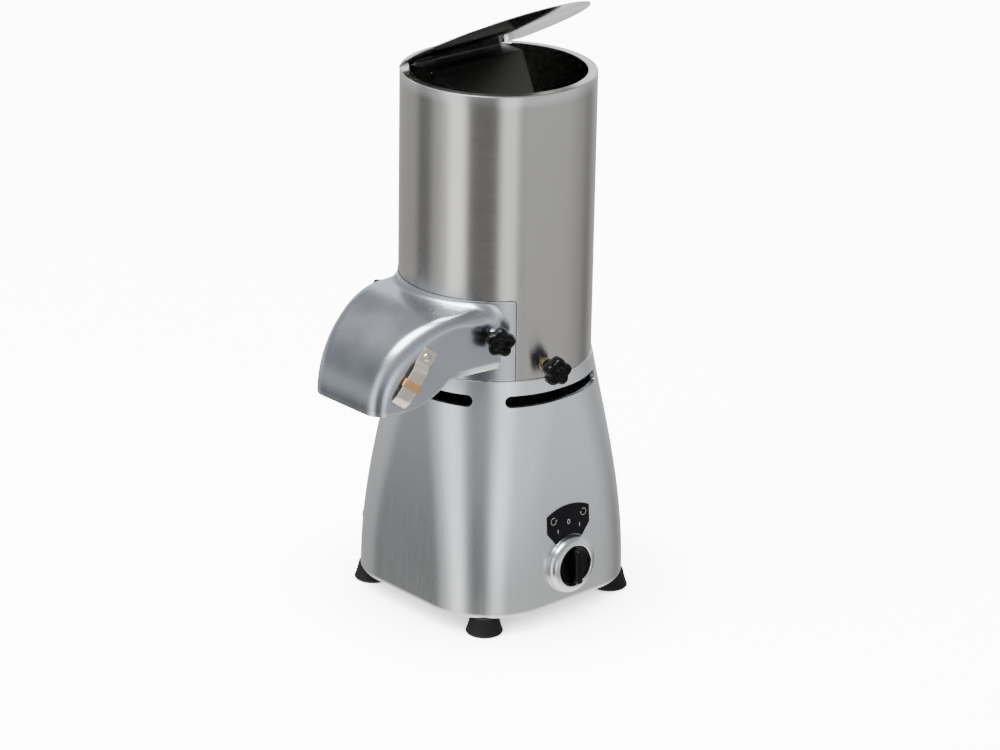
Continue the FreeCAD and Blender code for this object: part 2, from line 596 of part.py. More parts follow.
def make_feet():
    """Four flared rubber feet, each with a recess below for its screw."""
    screws = []
    spots = {"front_left": (-1, -1), "front_right": (1, -1), "rear_left": (-1, 1), "rear_right": (1, 1)}
    for name, (sx, sy) in spots.items():
        bore, recess = "dims.foot_screw_radius + 0.1", "dims.foot_recess_radius"
        foot = turned_part("foot_" + name, [
            (bore, "dims.foot_recess"), (recess, "dims.foot_recess"), (recess, "0"),
            ("dims.foot_low_radius - dims.foot_edge", "0"), ("dims.foot_low_radius", "dims.foot_lip"),
            ("dims.foot_top_radius", "dims.foot_height"), (bore, "dims.foot_height")])
        spot = Vector(sx * val("dims.foot_pitch"), sy * val("dims.foot_pitch"), 0)
        foot.Placement = Placement(spot, Rotation())
        under_head = spot + Vector(0, 0, val("dims.foot_recess - dims.foot_head"))
        screws.append(screw("foot_screw_" + name, under_head, "dims.foot_head_radius", "dims.foot_head",
                            "dims.foot_screw_radius", "dims.foot_screw_length"))
    group("foot_screws", screws)


def group(label, pieces):
    """Separate solids that share one node."""
    together = doc.addObject("Part::Compound", label)
    together.Links = pieces
    return keep(together, label)


def quarter_spots(radius, level):
    return [Vector(radius * math.cos(turn), radius * math.sin(turn), level)
            for turn in (0, math.pi / 2, math.pi, 3 * math.pi / 2)]


def screw(name, spot, head_radius, head_height, shank_radius, shank_length):
    """A screw driven upward: its head's lower face stands at the spot."""
    head = round_bar(name + "_head", head_radius, head_height, Placement(spot, Rotation()))
    under = Placement(spot + Vector(0, 0, val(head_height)), Rotation())
    return boolean("MultiFuse", name, head, round_bar(name + "_shank", shank_radius, shank_length, under))


def make_bottom_plate():
    body = new_body("bottom_plate")
    sketch = new_sketch(body, "XY_Plane", "plate_outline", lift="dims.plate_level")
    inset = "dims.base_wall - dims.plate_gap"
    rounded_square(sketch, "dims.base_half - " + inset, "dims.base_corner - " + inset)
    pad(body, sketch, "dims.plate_thick", "plate")
    notch = new_sketch(body, "XY_Plane", "corner_notch", lift="dims.plate_level - 1")
    ring_of(notch, "dims.boss_radius + 1", "dims.foot_pitch", "dims.foot_pitch")
    cut = pocket(body, notch, "dims.plate_thick + 2", "notch_cut", reverse=True)
    hole = new_sketch(body, "XY_Plane", "plate_hole", lift="dims.plate_level - 1")
    ring_of(hole, "dims.small_screw + 0.2", "dims.lug_radius", "0")
    drilled = pocket(body, hole, "dims.plate_thick + 2", "hole_cut", reverse=True)
    around(body, [cut, drilled], 4, "plate_cuts")
    spots = quarter_spots(val("dims.lug_radius"), val("dims.plate_level") - 1.8)
    group("bottom_screws", [screw("bottom_screw_%d" % number, spot, "4", "1.8", "dims.small_screw", "9")
                            for number, spot in enumerate(spots)])


def make_motor():
    """The vertical motor that hangs from the deck: its housing, end shields, bearings, shaft and screws."""
    low, high, deck = "dims.motor_low", "dims.motor_high", "dims.deck_under"
    body = new_body("motor_housing")
    ring = new_sketch(body, "XY_Plane", "housing_ring", lift=low)
    ring_of(ring, "dims.motor_radius - dims.housing_skin")
    ring_of(ring, "dims.motor_radius - 2 * dims.housing_skin")
    pad(body, ring, "%s - %s" % (high, low), "housing_wall")
    fin = new_sketch(body, "XY_Plane", "fin_outline", lift=low)
    root, tip, half = "dims.motor_radius - dims.housing_skin - 1", "dims.motor_radius", "dims.fin_half"
    outline(fin, [(root, "-" + half), (tip, "-" + half), (tip, half), (root, half)])
    around(body, [pad(body, fin, "%s - %s" % (high, low), "fin")], 24, "fins")
    seat, width = "dims.bearing_radius", "dims.bearing_width"
    shaft_hole, pilot_top = "dims.bearing_bore + 1", "dims.deck_under + dims.pilot_depth"
    under_flange, bearing_low = "dims.deck_under - dims.motor_flange", "%s + 2" % high
    shield = turned_part("motor_upper_shield", [
        (seat, high), ("dims.motor_radius", high), ("dims.motor_radius", under_flange),
        ("dims.flange_radius", under_flange), ("dims.flange_radius", deck), ("dims.pilot_radius", deck),
        ("dims.pilot_radius", pilot_top), (shaft_hole, pilot_top), (shaft_hole, "%s + %s" % (bearing_low, width)),
        (seat, "%s + %s" % (bearing_low, width))])
    hole = new_sketch(shield, "XY_Plane", "shield_hole_circle", lift="dims.deck_under - 12")
    ring_of(hole, "dims.stud_radius + dims.stud_room", "dims.motor_screw_pitch", "0")
    around(shield, [pocket(shield, hole, "20", "shield_hole", reverse=True)], 4, "shield_holes")
    foot = "%s - dims.end_shield" % low
    turned_part("motor_lower_shield", [
        (shaft_hole, foot), ("dims.motor_radius", foot), ("dims.motor_radius", low), (seat, low),
        (seat, "%s - %s" % (low, width)), (shaft_hole, "%s - %s" % (low, width))])
    for name, start in (("upper_bearing", bearing_low), ("lower_bearing", "%s - %s" % (low, width))):
        top = "%s + %s" % (start, width)
        bore = "dims.bearing_bore + dims.running_gap"
        turned_part(name, [(bore, start), (seat, start), (seat, top), (bore, top)])
    thin, thick = "dims.bearing_bore - 1", "dims.bearing_bore"
    step, end = "dims.deck_under + dims.shaft_step", "dims.hub_top + dims.thread_length"
    turned_part("motor_shaft", [
        ("0", "dims.shaft_low"), (thin, "dims.shaft_low"), (thin, foot), (thick, foot), (thick, step),
        ("dims.shaft_radius", step), ("dims.shaft_radius", "dims.hub_top"), ("dims.thread_radius", "dims.hub_top"),
        ("dims.thread_radius", end), ("0", end)])
    spots = quarter_spots(val("dims.motor_screw_pitch"), val("%s - dims.motor_head" % under_flange))
    group("motor_screws", [screw("motor_screw_%d" % number, spot, "dims.motor_head_radius", "dims.motor_head",
                                 "dims.stud_radius", "dims.motor_screw_length") for number, spot in enumerate(spots)])
    seal_top = "%s + 10" % pilot_top
    seal_hole = "dims.shaft_radius + dims.running_gap"
    turned_part("shaft_seal", [(seal_hole, pilot_top), ("dims.seal_radius", pilot_top),
                               ("dims.seal_radius", seal_top), (seal_hole, seal_top)])


def make_windings():
    """The stator's laminated core and its two winding heads, and the rotor core on the shaft."""
    low, high = "dims.core_low", "dims.core_high"
    bore, shell = "dims.core_radius + dims.air_gap", "dims.motor_radius - 2 * dims.housing_skin"
    turned_part("stator_core", [(bore, low), (shell, low), (shell, high), (bore, high)])
    heads = []
    for name, start, finish in (("lower", "dims.core_low - dims.winding_low", low),
                                ("upper", high, "dims.core_high + dims.winding_high")):
        head = doc.addObject("PartDesign::Body", "winding_" + name)
        sketch = new_sketch(head, "XZ_Plane", "winding_profile_" + name)
        inner, outer, middle = "dims.winding_inner", "dims.winding_outer", "(%s + %s) / 2" % (start, finish)
        outline(sketch, [(inner, start), (outer, start), (outer + " + dims.winding_bulge", middle), (outer, finish),
                         (inner, finish)])
        turned(head, sketch, "winding_turn_" + name)
        heads.append(head)
    group("stator_windings", heads)
    shaft = "dims.bearing_bore"
    turned_part("rotor_core", [(shaft, low), ("dims.core_radius", low), ("dims.core_radius", high), (shaft, high)])


def make_fan():
    """The motor's cooling fan on the shaft's lower end, under a slotted cover."""
    fan = new_body("cooling_fan")
    hub = new_sketch(fan, "XY_Plane", "fan_hub_circles", lift="dims.fan_low")
    ring_of(hub, "dims.fan_hub")
    ring_of(hub, "dims.bearing_bore - 1")
    pad(fan, hub, "dims.fan_height", "fan_boss")
    blade = new_sketch(fan, "XY_Plane", "fan_blade", lift="dims.fan_low")
    root, tip, half = "dims.fan_hub - 1", "dims.fan_radius", "dims.blade_half"
    outline(blade, [(root, "-" + half), (tip, "-" + half), (tip, half), (root, half)])
    around(fan, [pad(fan, blade, "dims.fan_height", "blade")], 8, "blades")
    floor, roof = "dims.cover_low", "dims.motor_low - dims.end_shield"
    outer, inner = "dims.motor_radius", "dims.motor_radius - dims.cover_wall"
    inside = "dims.cover_low + dims.cover_wall"
    cover = turned_part("fan_cover", [("0", floor), (outer, floor), (outer, roof), (inner, roof), (inner, inside),
                                      ("0", inside)])
    vent = new_sketch(cover, "XY_Plane", "cover_slot", lift="dims.cover_low - 2")
    near, far, half = "dims.cover_slot_start", "dims.cover_slot_end", "dims.cover_slot_half"
    outline(vent, [(near, "-" + half), (far, "-" + half), (far, half), (near, half)])
    around(cover, [pocket(cover, vent, "6", "cover_cut", reverse=True)], 8, "cover_slots")


def make_rotor():
    """The sweeper disc with its vanes and the toothed beaters above it, held by one nut on the shaft."""
    low, shaft = "dims.sweeper_low", "dims.shaft_radius"
    top = "(dims.sweeper_low + dims.sweeper_thick)"
    sweeper = turned_part("sweeper_plate", [
        (shaft, low), ("dims.sweeper_radius", low), ("dims.sweeper_radius", top), (shaft, top)])
    vane = new_sketch(sweeper, "XY_Plane", "vane_outline", lift=top)
    near, far, half = "dims.vane_start", "dims.sweeper_radius - 1", "dims.vane_half"
    outline(vane, [(near, "-" + half), (far, "-" + half), (far, half), (near, half)])
    around(sweeper, [pad(sweeper, vane, "dims.vane_height", "vane")], 6, "vanes")
    rotor = turned_part("beater_rotor", [
        (shaft, top), ("dims.hub_radius + dims.hub_foot", top), ("dims.hub_radius", "%s + dims.hub_foot" % top),
        ("dims.hub_radius", "dims.hub_top"), (shaft, "dims.hub_top")])
    arms = []
    for name, lift, turn in (("lower", "dims.arm_low", 0), ("upper", "dims.arm_high", 1)):
        arm = new_sketch(rotor, "XY_Plane", "arm_outline_" + name, lift="dims.ring_low + " + lift)
        reach, root = "dims.beater_reach", "dims.hub_radius - 4"
        tooth, half, point = "(dims.beater_reach - dims.tooth_length)", "dims.arm_half", "dims.tooth_half"
        shape = [(root, "-" + half), (tooth, "-" + half), (reach, "-" + point), (tooth, "0"), (reach, point),
                 (tooth, half), (root, half)]
        if turn:
            shape = [("-(%s)" % y if not y.startswith("-") else y[1:], x) for x, y in shape]
        outline(arm, shape)
        arms.append(pad(rotor, arm, "dims.arm_height", "arm_" + name))
    around(rotor, arms, 4, "arms")
    nut = new_body("rotor_nut")
    flats = new_sketch(nut, "XY_Plane", "nut_outline", lift="dims.hub_top")
    sixth = math.pi / 3
    corners = [Vector(math.cos(sixth * step), math.sin(sixth * step), 0) for step in range(6)]
    outline(flats, [("dims.nut_radius * %.6f" % spot.x, "dims.nut_radius * %.6f" % spot.y) for spot in corners])
    ring_of(flats, "dims.thread_radius")
    pad(nut, flats, "dims.nut_height", "nut")


def make_grater():
    """The slotted ring that the beaters grate against, and the funnel collar that leads down into it."""
    ring = new_body("grater_ring")
    inner, outer = "dims.ring_radius - dims.ring_wall", "dims.ring_radius"
    wall = new_sketch(ring, "XY_Plane", "grater_circles", lift="dims.ring_low")
    ring_of(wall, outer)
    ring_of(wall, inner)
    pad(ring, wall, "dims.ring_high - dims.ring_low", "grater_wall")
    slot = new_sketch(ring, "YZ_Plane", "grater_slot", lift="dims.ring_radius - 10")
    half = "dims.slot_width / 2"
    low, high = "dims.ring_low + dims.slot_margin", "dims.ring_high - dims.slot_margin - 1"
    outline(slot, [("-" + half, low), (half, low), (half, high), ("-" + half, high)])
    around(ring, [pocket(ring, slot, "20", "slot_cut", reverse=True)], 40, "slots")
    side = "dims.tube_radius - dims.tube_wall - 0.1"
    skin = "%s - dims.collar_skin" % side
    foot, rise, top = "dims.ring_high", "dims.ring_high + dims.collar_rise", "dims.ring_high + dims.collar_high"
    turned_part("funnel_collar", [(inner, foot), (outer, foot), (side, rise), (side, top), (skin, top),
                                  (skin, "%s + dims.collar_skin" % rise)])


def star_outline(sketch):
    """Five round lobes joined by hollow arcs."""
    outer, lobe, valley = val("dims.knob_radius"), val("dims.lobe_radius"), val("dims.valley_pitch")
    pitch = outer - lobe
    turn = 2 * math.pi / 5
    reach = math.sqrt(pitch ** 2 + valley ** 2 - 2 * pitch * valley * math.cos(turn / 2))
    touches = []
    for number in range(5):
        for side in (-1, 1):
            lobe_at = Vector(math.cos(number * turn), math.sin(number * turn), 0) * pitch
            hollow = number * turn + side * turn / 2
            valley_at = Vector(math.cos(hollow), math.sin(hollow), 0) * valley
            touches.append(lobe_at + (valley_at - lobe_at).normalize() * lobe)
    points = []
    for number, touch in enumerate(touches):
        radius, side = ("dims.lobe_radius", 1) if number % 2 == 0 else ("%.6f" % (reach - lobe), -1)
        points.append(("%.6f" % touch.x, "%.6f" % touch.y, radius, side))
    outline(sketch, points)


def make_knob(label, place, hub_length):
    """A five-lobed star knob with a hub behind and a blind bore for its stud."""
    body = new_body(label)
    hub = new_sketch(body, "XY_Plane", label + "_hub")
    ring_of(hub, "dims.knob_hub")
    pad(body, hub, hub_length + " + 1", label + "_boss")
    star = new_sketch(body, "XY_Plane", label + "_star", lift=hub_length)
    star_outline(star)
    pad(body, star, "dims.knob_thick", label + "_grip")
    doc.recompute()
    top = val(hub_length + " + dims.knob_thick")
    base = body.Tip
    rim = body.newObject("PartDesign::Fillet", label + "_round")
    rim.Base = (base, edges_where(base.Shape, lambda edge: edge.BoundBox.ZMin > top - 0.1))
    bind(rim, Radius="dims.knob_edge")
    bore = new_sketch(body, "XY_Plane", label + "_bore")
    ring_of(bore, "dims.stud_radius + dims.running_gap")
    pocket(body, bore, "dims.knob_bore", label + "_bore_cut", reverse=True)
    body.Placement = place


def make_knobs():
    """Two knobs on the spout's studs, and two with brass collars on the hopper's studs."""
    gap = val("dims.stud_room")
    seat = val("dims.spout_seat") + gap
    level = val("dims.spout_knob_level")
    studs = []
    for name, angle in zip(("front", "rear"), spout_knob_angles()):
        make_knob("spout_knob_" + name, radial_place(angle, level, seat), "dims.knob_hub_length")
        start = val("dims.flange_inner") - 0.1
        studs.append(round_bar("spout_stud_" + name, "dims.stud_radius", "dims.spout_stud",
                               radial_place(angle, level, start)))
    group("spout_studs", studs)
    studs = []
    level = val("dims.hopper_knob_level")
    for name, angle in zip(("front", "rear"), hopper_knob_angles()):
        out = val("dims.tube_radius") + gap
        seat = out + val("dims.collar_thick") + gap
        make_knob("hopper_knob_" + name, radial_place(angle, level, seat), "dims.long_hub")
        bore, rim, thick = "dims.stud_radius + dims.running_gap", "dims.collar_radius", "dims.collar_thick"
        collar = turned_part("knob_collar_" + name, [(bore, "0"), (rim, "0"), (rim, thick), (bore, thick)])
        collar.Placement = radial_place(angle, level, out)
        studs.append(round_bar("hopper_stud_" + name, "dims.stud_radius", "dims.hopper_stud",
                               radial_place(angle, level, val("dims.stud_start"))))
    group("hopper_studs", studs)


def make_backing_strips():
    """Two strips welded inside the tube beside the notch, which carry the spout's studs."""
    middle = val("dims.flange_inner") - 0.1
    inner, outer = middle - val("dims.strip_thick"), val("dims.tube_radius - dims.tube_wall") - 0.05
    first, step, last = (val("dims." + name) for name in ("strip_first", "strip_step", "strip_last"))
    strips = []
    for side, name in ((1, "front"), (-1, "rear")):

        def at(radius, angle):
            way = math.radians(180 + side * angle)
            return ("%.6f" % (radius * math.cos(way)), "%.6f" % (radius * math.sin(way)))

        strip = doc.addObject("PartDesign::Body", "strip_" + name)
        sketch = new_sketch(strip, "XY_Plane", strip.Name + "_plan", lift="dims.floor_level + dims.strip_lift")
        outline(sketch, [
            at(inner, first) + ("%.6f" % inner, side), at(inner, last), at(outer, last) + ("%.6f" % outer, -side),
            at(outer, step), at(middle, step) + ("%.6f" % middle, -side), at(middle, first)])
        pad(strip, sketch, "dims.ring_high - dims.floor_level - 2 * dims.strip_lift", strip.Name + "_pad")
        strips.append(strip)
    group("backing_strips", strips)


def make_switch():
    """The front rotary switch: contact block inside, metal bezel and black handle outside."""
    tilt = 90 - val("dims.switch_tilt")
    place = Placement(Vector(0, -val("dims.switch_front"), val("dims.switch_level")), Rotation(Vector(1, 0, 0), tilt))
    foot, rim, top = "dims.bezel_foot", "dims.bezel_radius", "dims.bezel_height"
    bore, well = "dims.stem_radius + 1", "dims.handle_radius + dims.handle_gap"
    bezel = turned_part("switch_bezel", [
        (bore, "dims.running_gap"), (rim, "dims.running_gap"), (rim, foot),
        (rim + " - 6.2", top + " - 0.6"), (rim + " - 7.4", top), (well + " + 0.8", top), (well, top + " - 1"),
        (well, foot), (bore, foot)])
    handle = new_body("switch_handle")
    stem = new_sketch(handle, "XY_Plane", "stem_circle", lift="-dims.stem_length")
    ring_of(stem, "dims.stem_radius")
    pad(handle, stem, "dims.stem_length + dims.disc_low + 1", "stem")
    disc = new_sketch(handle, "XY_Plane", "disc_circle", lift="dims.disc_low")
    ring_of(disc, "dims.handle_radius")
    pad(handle, disc, "dims.disc_thick", "disc")
    grip = new_sketch(handle, "XY_Plane", "grip_outline", lift="dims.grip_low")
    side, reach, end = "dims.grip_half", "(dims.handle_radius - 1) * 0.94", "dims.grip_end"
    outline(grip, [(side, "-(%s)" % reach), (side, reach, end, 1), ("-" + side, reach),
                   ("-" + side, "-(%s)" % reach, end, 1)])
    bar = pad(handle, grip, "dims.grip_height", "grip")
    bar.TaperAngle = -8
    block = new_body("switch_block")
    case = new_sketch(block, "XY_Plane", "case_outline", lift="-dims.case_low")
    half = "dims.case_half"
    outline(case, [("-" + half, "-" + half), (half, "-" + half), (half, half), ("-" + half, half)])
    pad(block, case, "dims.case_deep", "case")
    neck = new_sketch(block, "XY_Plane", "neck_circle", lift="-dims.neck_long")
    ring_of(neck, "dims.switch_neck_radius - dims.running_gap")
    pad(block, neck, "dims.neck_long", "neck")
    stem_hole = new_sketch(block, "XY_Plane", "stem_hole", lift="-dims.stem_length - 1")
    ring_of(stem_hole, "dims.stem_radius + dims.running_gap")
    pocket(block, stem_hole, "dims.stem_length + 6", "stem_hole_cut", reverse=True)
    for body in (bezel, handle, block):
        body.Placement = place


def make_label():
    """The fan-shaped label plate above the switch, its foot curved round the bezel."""
    label = new_body("label_plate")
    fan = new_sketch(label, "XY_Plane", "fan_outline")
    middle = "(dims.label_middle - dims.switch_level)"
    outer, half, foot_x, low = "dims.label_radius", "dims.label_half", "dims.label_foot", "-dims.label_drop"
    top = "sqrt(%s^2 - %s^2) - %s" % (outer, half, middle)
    inner = "dims.bezel_radius + 0.5"
    foot = "sqrt((%s)^2 - %s^2) - %s" % (inner, foot_x, middle)
    outline(fan, [(half, top, outer, 1), ("-" + half, top), ("-" + half, low), ("-" + foot_x, foot, inner, -1),
                  (foot_x, foot), (half, low)])
    pad(label, fan, "dims.label_thick", "plate_pad")
    slope = 90 - val("dims.label_slope")
    label.Placement = Placement(Vector(0, -val("dims.label_front"), val("dims.label_middle")),
                                Rotation(Vector(1, 0, 0), slope))


def make_electrics():
    """The run capacitor with its clamp, the terminal block and the cable gland."""
    floor = "dims.plate_level + dims.plate_thick"
    rim, end = "dims.can_radius", "dims.can_length"
    can = turned_part("run_capacitor", [("0", "0"), (rim + " - 1", "0"), (rim, "1"), (rim, end + " - 2"),
                                        (rim + " - 1", end), ("0", end)])
    inner, start, finish = "dims.can_radius + 0.1", "dims.clamp_start", "dims.clamp_end"
    outer = inner + " + dims.clamp_skin"
    clamp = turned_part("capacitor_clamp", [(inner, start), (outer, start), (outer, finish), (inner, finish)])
    lying = Placement(Vector(val("dims.can_x"), val("dims.can_y"), val(floor + " + dims.can_lift")),
                      Rotation(Vector(0, 1, 0), 90))
    can.Placement = lying
    clamp.Placement = lying
    block = new_body("terminal_block")
    base = new_sketch(block, "XY_Plane", "block_outline", lift=floor)
    near, far, half = "dims.block_x - dims.block_half_x", "dims.block_x + dims.block_half_x", "dims.block_half_y"
    outline(base, [(near, "-" + half), (far, "-" + half), (far, half), (near, half)])
    pad(block, base, "dims.block_height", "block")
    well = new_sketch(block, "XY_Plane", "screw_well", lift=floor + " + dims.block_height - dims.well_depth")
    ring_of(well, "dims.well_radius", "dims.block_x", "dims.well_first")
    well_cut = pocket(block, well, "dims.well_depth + 2", "well", reverse=True)
    row = block.newObject("PartDesign::LinearPattern", "wells")
    row.Originals = [well_cut]
    row.Direction = (base_plane(block, "Y_Axis"), [""])
    row.Length = val("dims.well_span")
    row.Occurrences = 5
    block.Tip = row
    cable, neck = "dims.cable_radius", "dims.gland_radius - dims.running_gap"
    nut, dome = "dims.gland_nut_radius", "dims.gland_dome"
    tail, wall = "-dims.gland_tail", "dims.base_wall + 0.1"
    gland = turned_part("cable_gland", [
        (cable, tail), (neck, tail), (neck, wall), (nut, wall), (nut, "11"), (dome, "12"), (dome, "18"),
        ("7", "dims.gland_reach"), (cable, "dims.gland_reach")])
    back = Vector(val("dims.gland_x"), val("dims.base_half - dims.base_wall") + 0.9, val("dims.gland_level"))
    gland.Placement = Placement(back, Rotation(Vector(1, 0, 0), -90))


def make_mouth():
    """The folded plate that closes the back of the mouth and slopes down inside as a safety baffle."""
    deck = doc.addObject("PartDesign::Body", "mouth_deck")
    inner = "(dims.tube_radius - dims.rim_turn - dims.running_gap)"
    sketch = new_sketch(deck, "XY_Plane", "mouth_outline", lift="dims.rim_level - dims.tube_wall")
    half = "dims.baffle_half"
    side_y = "sqrt(%s^2 - %s^2)" % (inner, half)
    outline(sketch, [("-" + half, "dims.baffle_edge"), (half, "dims.baffle_edge"), (half, side_y, inner, 1),
                     ("-" + half, side_y)])
    pad(deck, sketch, "dims.tube_wall", "mouth_pad")
    flap = doc.addObject("PartDesign::Body", "mouth_flap")
    slope = Placement(Vector(0, val("dims.baffle_edge"), val("dims.rim_level - dims.tube_wall")),
                      Rotation(Vector(1, 0, 0), val("dims.baffle_slope")))
    plan = new_sketch(flap, "XY_Plane", "flap_outline", offset=slope)
    tip = "dims.baffle_tip_half"
    outline(plan, [("-" + half, "0"), ("-" + tip, "-dims.baffle_length"), (tip, "-dims.baffle_length"), (half, "0")])
    pad(flap, plan, "dims.tube_wall", "flap_pad")
    end = Vector(-val("dims.baffle_half"), val("dims.baffle_edge"), val("dims.rim_level - dims.bead_radius"))
    bead = round_bar("fold_bead", "dims.bead_radius", "2 * dims.baffle_half",
                     Placement(end, Rotation(Vector(0, 1, 0), 90)))
    keep(boolean("MultiFuse", "safety_baffle", deck, flap, bead), "safety_baffle")


# Hinge knuckles along the pin, from end to end in millimetres.
KNUCKLE_FIXED = ((-58.0, -35.0), (-11.8, 11.8), (35.0, 58.0))
KNUCKLE_MOVING = ((-34.7, -12.1), (12.1, 34.7))


def hinge_bar(name, radius):
    """A bar along the whole hinge axis."""
    start = Vector(-val("dims.hinge_half") - 1, val("dims.hinge_y"), val("dims.hinge_z"))
    return round_bar(name, radius, "2 * dims.hinge_half + 2", Placement(start, Rotation(Vector(0, 1, 0), 90)))


def make_leaf(label, knuckles, half, near, far, level, side):
    """One hinge leaf: a flat strip with rolled knuckles, cleared round the pin and bored for it."""
    thick = "dims.tube_wall"
    strip = doc.addObject("PartDesign::Body", label + "_plate")
    sketch = new_sketch(strip, "XY_Plane", label + "_outline", lift=level)
    outline(sketch, [("-" + half, near), (half, near), (half, far), ("-" + half, far)])
    pad(strip, sketch, thick, label + "_pad")
    gap = hinge_bar(label + "_clearance", "dims.knuckle_radius + dims.knuckle_gap")
    pieces = [boolean("Cut", label + "_cleared", strip, gap)]
    axis_y, axis_z = val("dims.hinge_y"), val("dims.hinge_z")
    for number, (start, finish) in enumerate(knuckles):
        length = "%g" % (finish - start)
        spot = Placement(Vector(start, axis_y, axis_z), Rotation(Vector(0, 1, 0), 90))
        pieces.append(round_bar("%s_knuckle_%d" % (label, number), "dims.knuckle_radius", length, spot))
        web = doc.addObject("Part::Box", "%s_web_%d" % (label, number))
        bind(web, Length=length, Width="dims.web_width", Height=thick)
        low_y = axis_y if side > 0 else axis_y - val("dims.web_width")
        web.Placement = Placement(Vector(start, low_y, val(level)), Rotation())
        pieces.append(web)
    joined = boolean("MultiFuse", label + "_joined", *pieces)
    bore = hinge_bar(label + "_bore", "dims.pin_radius + dims.running_gap")
    return keep(boolean("Cut", label, joined, bore), label)


def make_hinge():
    """A butt hinge on top: a leaf on the baffle plate, a leaf on the lid, the pin through both, and the lid."""
    axis = Vector(0, val("dims.hinge_y"), val("dims.hinge_z"))
    open_turn = Placement(Vector(), Rotation(Vector(1, 0, 0), -val("dims.lid_open")), axis)
    gap, width = "dims.leaf_gap", "dims.leaf_width"
    make_leaf("hinge_leaf", KNUCKLE_FIXED, "dims.hinge_half", "dims.hinge_y + " + gap, "dims.hinge_y + " + width,
              "dims.rim_level", 1)
    moving = make_leaf("lid_leaf", KNUCKLE_MOVING, "dims.lid_leaf_half", "dims.hinge_y - " + width,
                       "dims.hinge_y - " + gap, "dims.rim_level + dims.lid_gap + dims.lid_thick", -1)
    moving.Placement = open_turn
    keep(hinge_bar("hinge_pin", "dims.pin_radius"), "hinge_pin")
    lid = new_body("lid")
    sketch = new_sketch(lid, "XY_Plane", "lid_outline", lift="dims.rim_level + dims.lid_gap")
    outline(sketch, lid_outline())
    pad(lid, sketch, "dims.lid_thick", "lid_pad")
    lid.Placement = open_turn


def lid_outline():
    """The D-shaped lid: its straight back edge and the long round front in four arcs."""
    radius, edge = "dims.lid_radius", "(dims.hinge_y - dims.lid_back)"
    half = "sqrt(dims.lid_radius^2 - %s^2)" % edge
    return [(half, edge), ("-" + half, edge, radius, 1), ("-" + radius, "0", radius, 1),
            ("0", "-" + radius, radius, 1), (radius, "0", radius, 1)]


def wall_point(x, level, out, side):
    """A point on the spout's side wall, and the wall's outward direction in plan. Side is -1 in front, 1 behind."""
    slope = val("(dims.duct_root_half - dims.duct_mouth_half) / (dims.spout_reach - dims.duct_root_x)")
    half = val("dims.duct_root_half") + (x + val("dims.duct_root_x")) * slope
    outward = Vector(-slope, side, 0).normalize()
    return Vector(x, side * half, level) + outward * out, outward


def clip_place(side):
    """Clip axes: +Z out of the wall through the screw, +Y up along the strip."""
    spot, outward = wall_point(val("dims.clip_x"), val("dims.clip_level"), 0.3, side)
    along = Vector(0, 0, 1).cross(outward) * side
    lean = math.radians(val("dims.clip_lean"))
    up = Vector(0, 0, 1) * math.cos(lean) - along * math.sin(lean)
    right = up.cross(outward)
    matrix = FreeCAD.Matrix(right.x, up.x, outward.x, spot.x, right.y, up.y, outward.y, spot.y,
                            right.z, up.z, outward.z, spot.z, 0, 0, 0, 1)
    return Placement(matrix)


def make_clips():
    """Spring strips on the side walls of the spout, each with a rubber band and a screw."""
    thick, stand = "dims.clip_thick", "dims.clip_stand"
    top, low, end_lift = "dims.clip_above", "-dims.clip_below", "dims.clip_end_lift"
    bend = "%s + dims.clip_end" % low
    near, far = "-dims.clip_step_start", "-dims.clip_step_end"
    for side, name in ((-1, "front"), (1, "rear")):
        strip = new_body("spout_clip_" + name)
        sketch = new_sketch(strip, "YZ_Plane", strip.Name + "_profile")
        over = "%s + %s" % (stand, thick)
        outline(sketch, [
            (top, "0"), (top, thick), (near, thick), (far, over), (bend, over), (low, "%s + %s" % (end_lift, thick)),
            (low, end_lift), (bend, stand), (far + " - dims.clip_bend", stand), (near + " - dims.clip_bend", "0")])
        pad(strip, sketch, "2 * dims.clip_half", strip.Name + "_strip", midplane=True)
        hole = new_sketch(strip, "XY_Plane", strip.Name + "_hole")
        ring_of(hole, "dims.clip_screw + dims.running_gap")
        pocket(strip, hole, "5", strip.Name + "_hole_cut", reverse=True)
        shank, head, deep = "dims.clip_screw", "dims.clip_head_radius", "-dims.clip_screw_deep"
        head_low, head_top = "dims.clip_head_low", "dims.clip_head_top"
        fixing = turned_part("clip_screw_" + name, [
            ("0", deep), (shank, deep), (shank, head_low), (head, head_low), (head + " - 0.3", head_low + " + 1.4"),
            (head + " - 1.6", head_top + " - 0.5"), ("0", head_top)])
        band = new_body("clip_band_" + name)
        loop = new_sketch(band, "XZ_Plane", band.Name + "_loop", lift="dims.band_start")
        for skin in ("dims.band_gap", "dims.band_gap + dims.band_thick"):
            wide = "dims.clip_half + " + skin
            deep, high = "%s - (%s)" % (stand, skin), "%s + %s + %s" % (stand, thick, skin)
            outline(loop, [("-(%s)" % wide, deep), (wide, deep), (wide, high), ("-(%s)" % wide, high)])
        pad(band, loop, "dims.band_width", band.Name + "_pad")
        for body in (strip, fixing, band):
            body.Placement = clip_place(side)


make_base()
make_spout()
make_hopper()
make_feet()
make_bottom_plate()
make_motor()
make_windings()
make_fan()
make_rotor()
make_grater()
make_knobs()
make_backing_strips()
make_switch()
make_label()
make_electrics()
make_mouth()
make_hinge()
make_clips()
doc.recompute()


def check_everything():
    """Stop with a plain message if any object failed, or a sub-part is empty or not valid."""
    faults = []
    for thing in doc.Objects:
        if "Invalid" in thing.State or "Error" in thing.State:
            faults.append("%s %s" % (thing.Name, thing.getStatusString()))
    for thing in parts:
        if thing.Shape.isNull() or not thing.Shape.isValid():
            faults.append("%s has no valid shape" % thing.Label)
    if faults:
        raise RuntimeError("; ".join(faults))


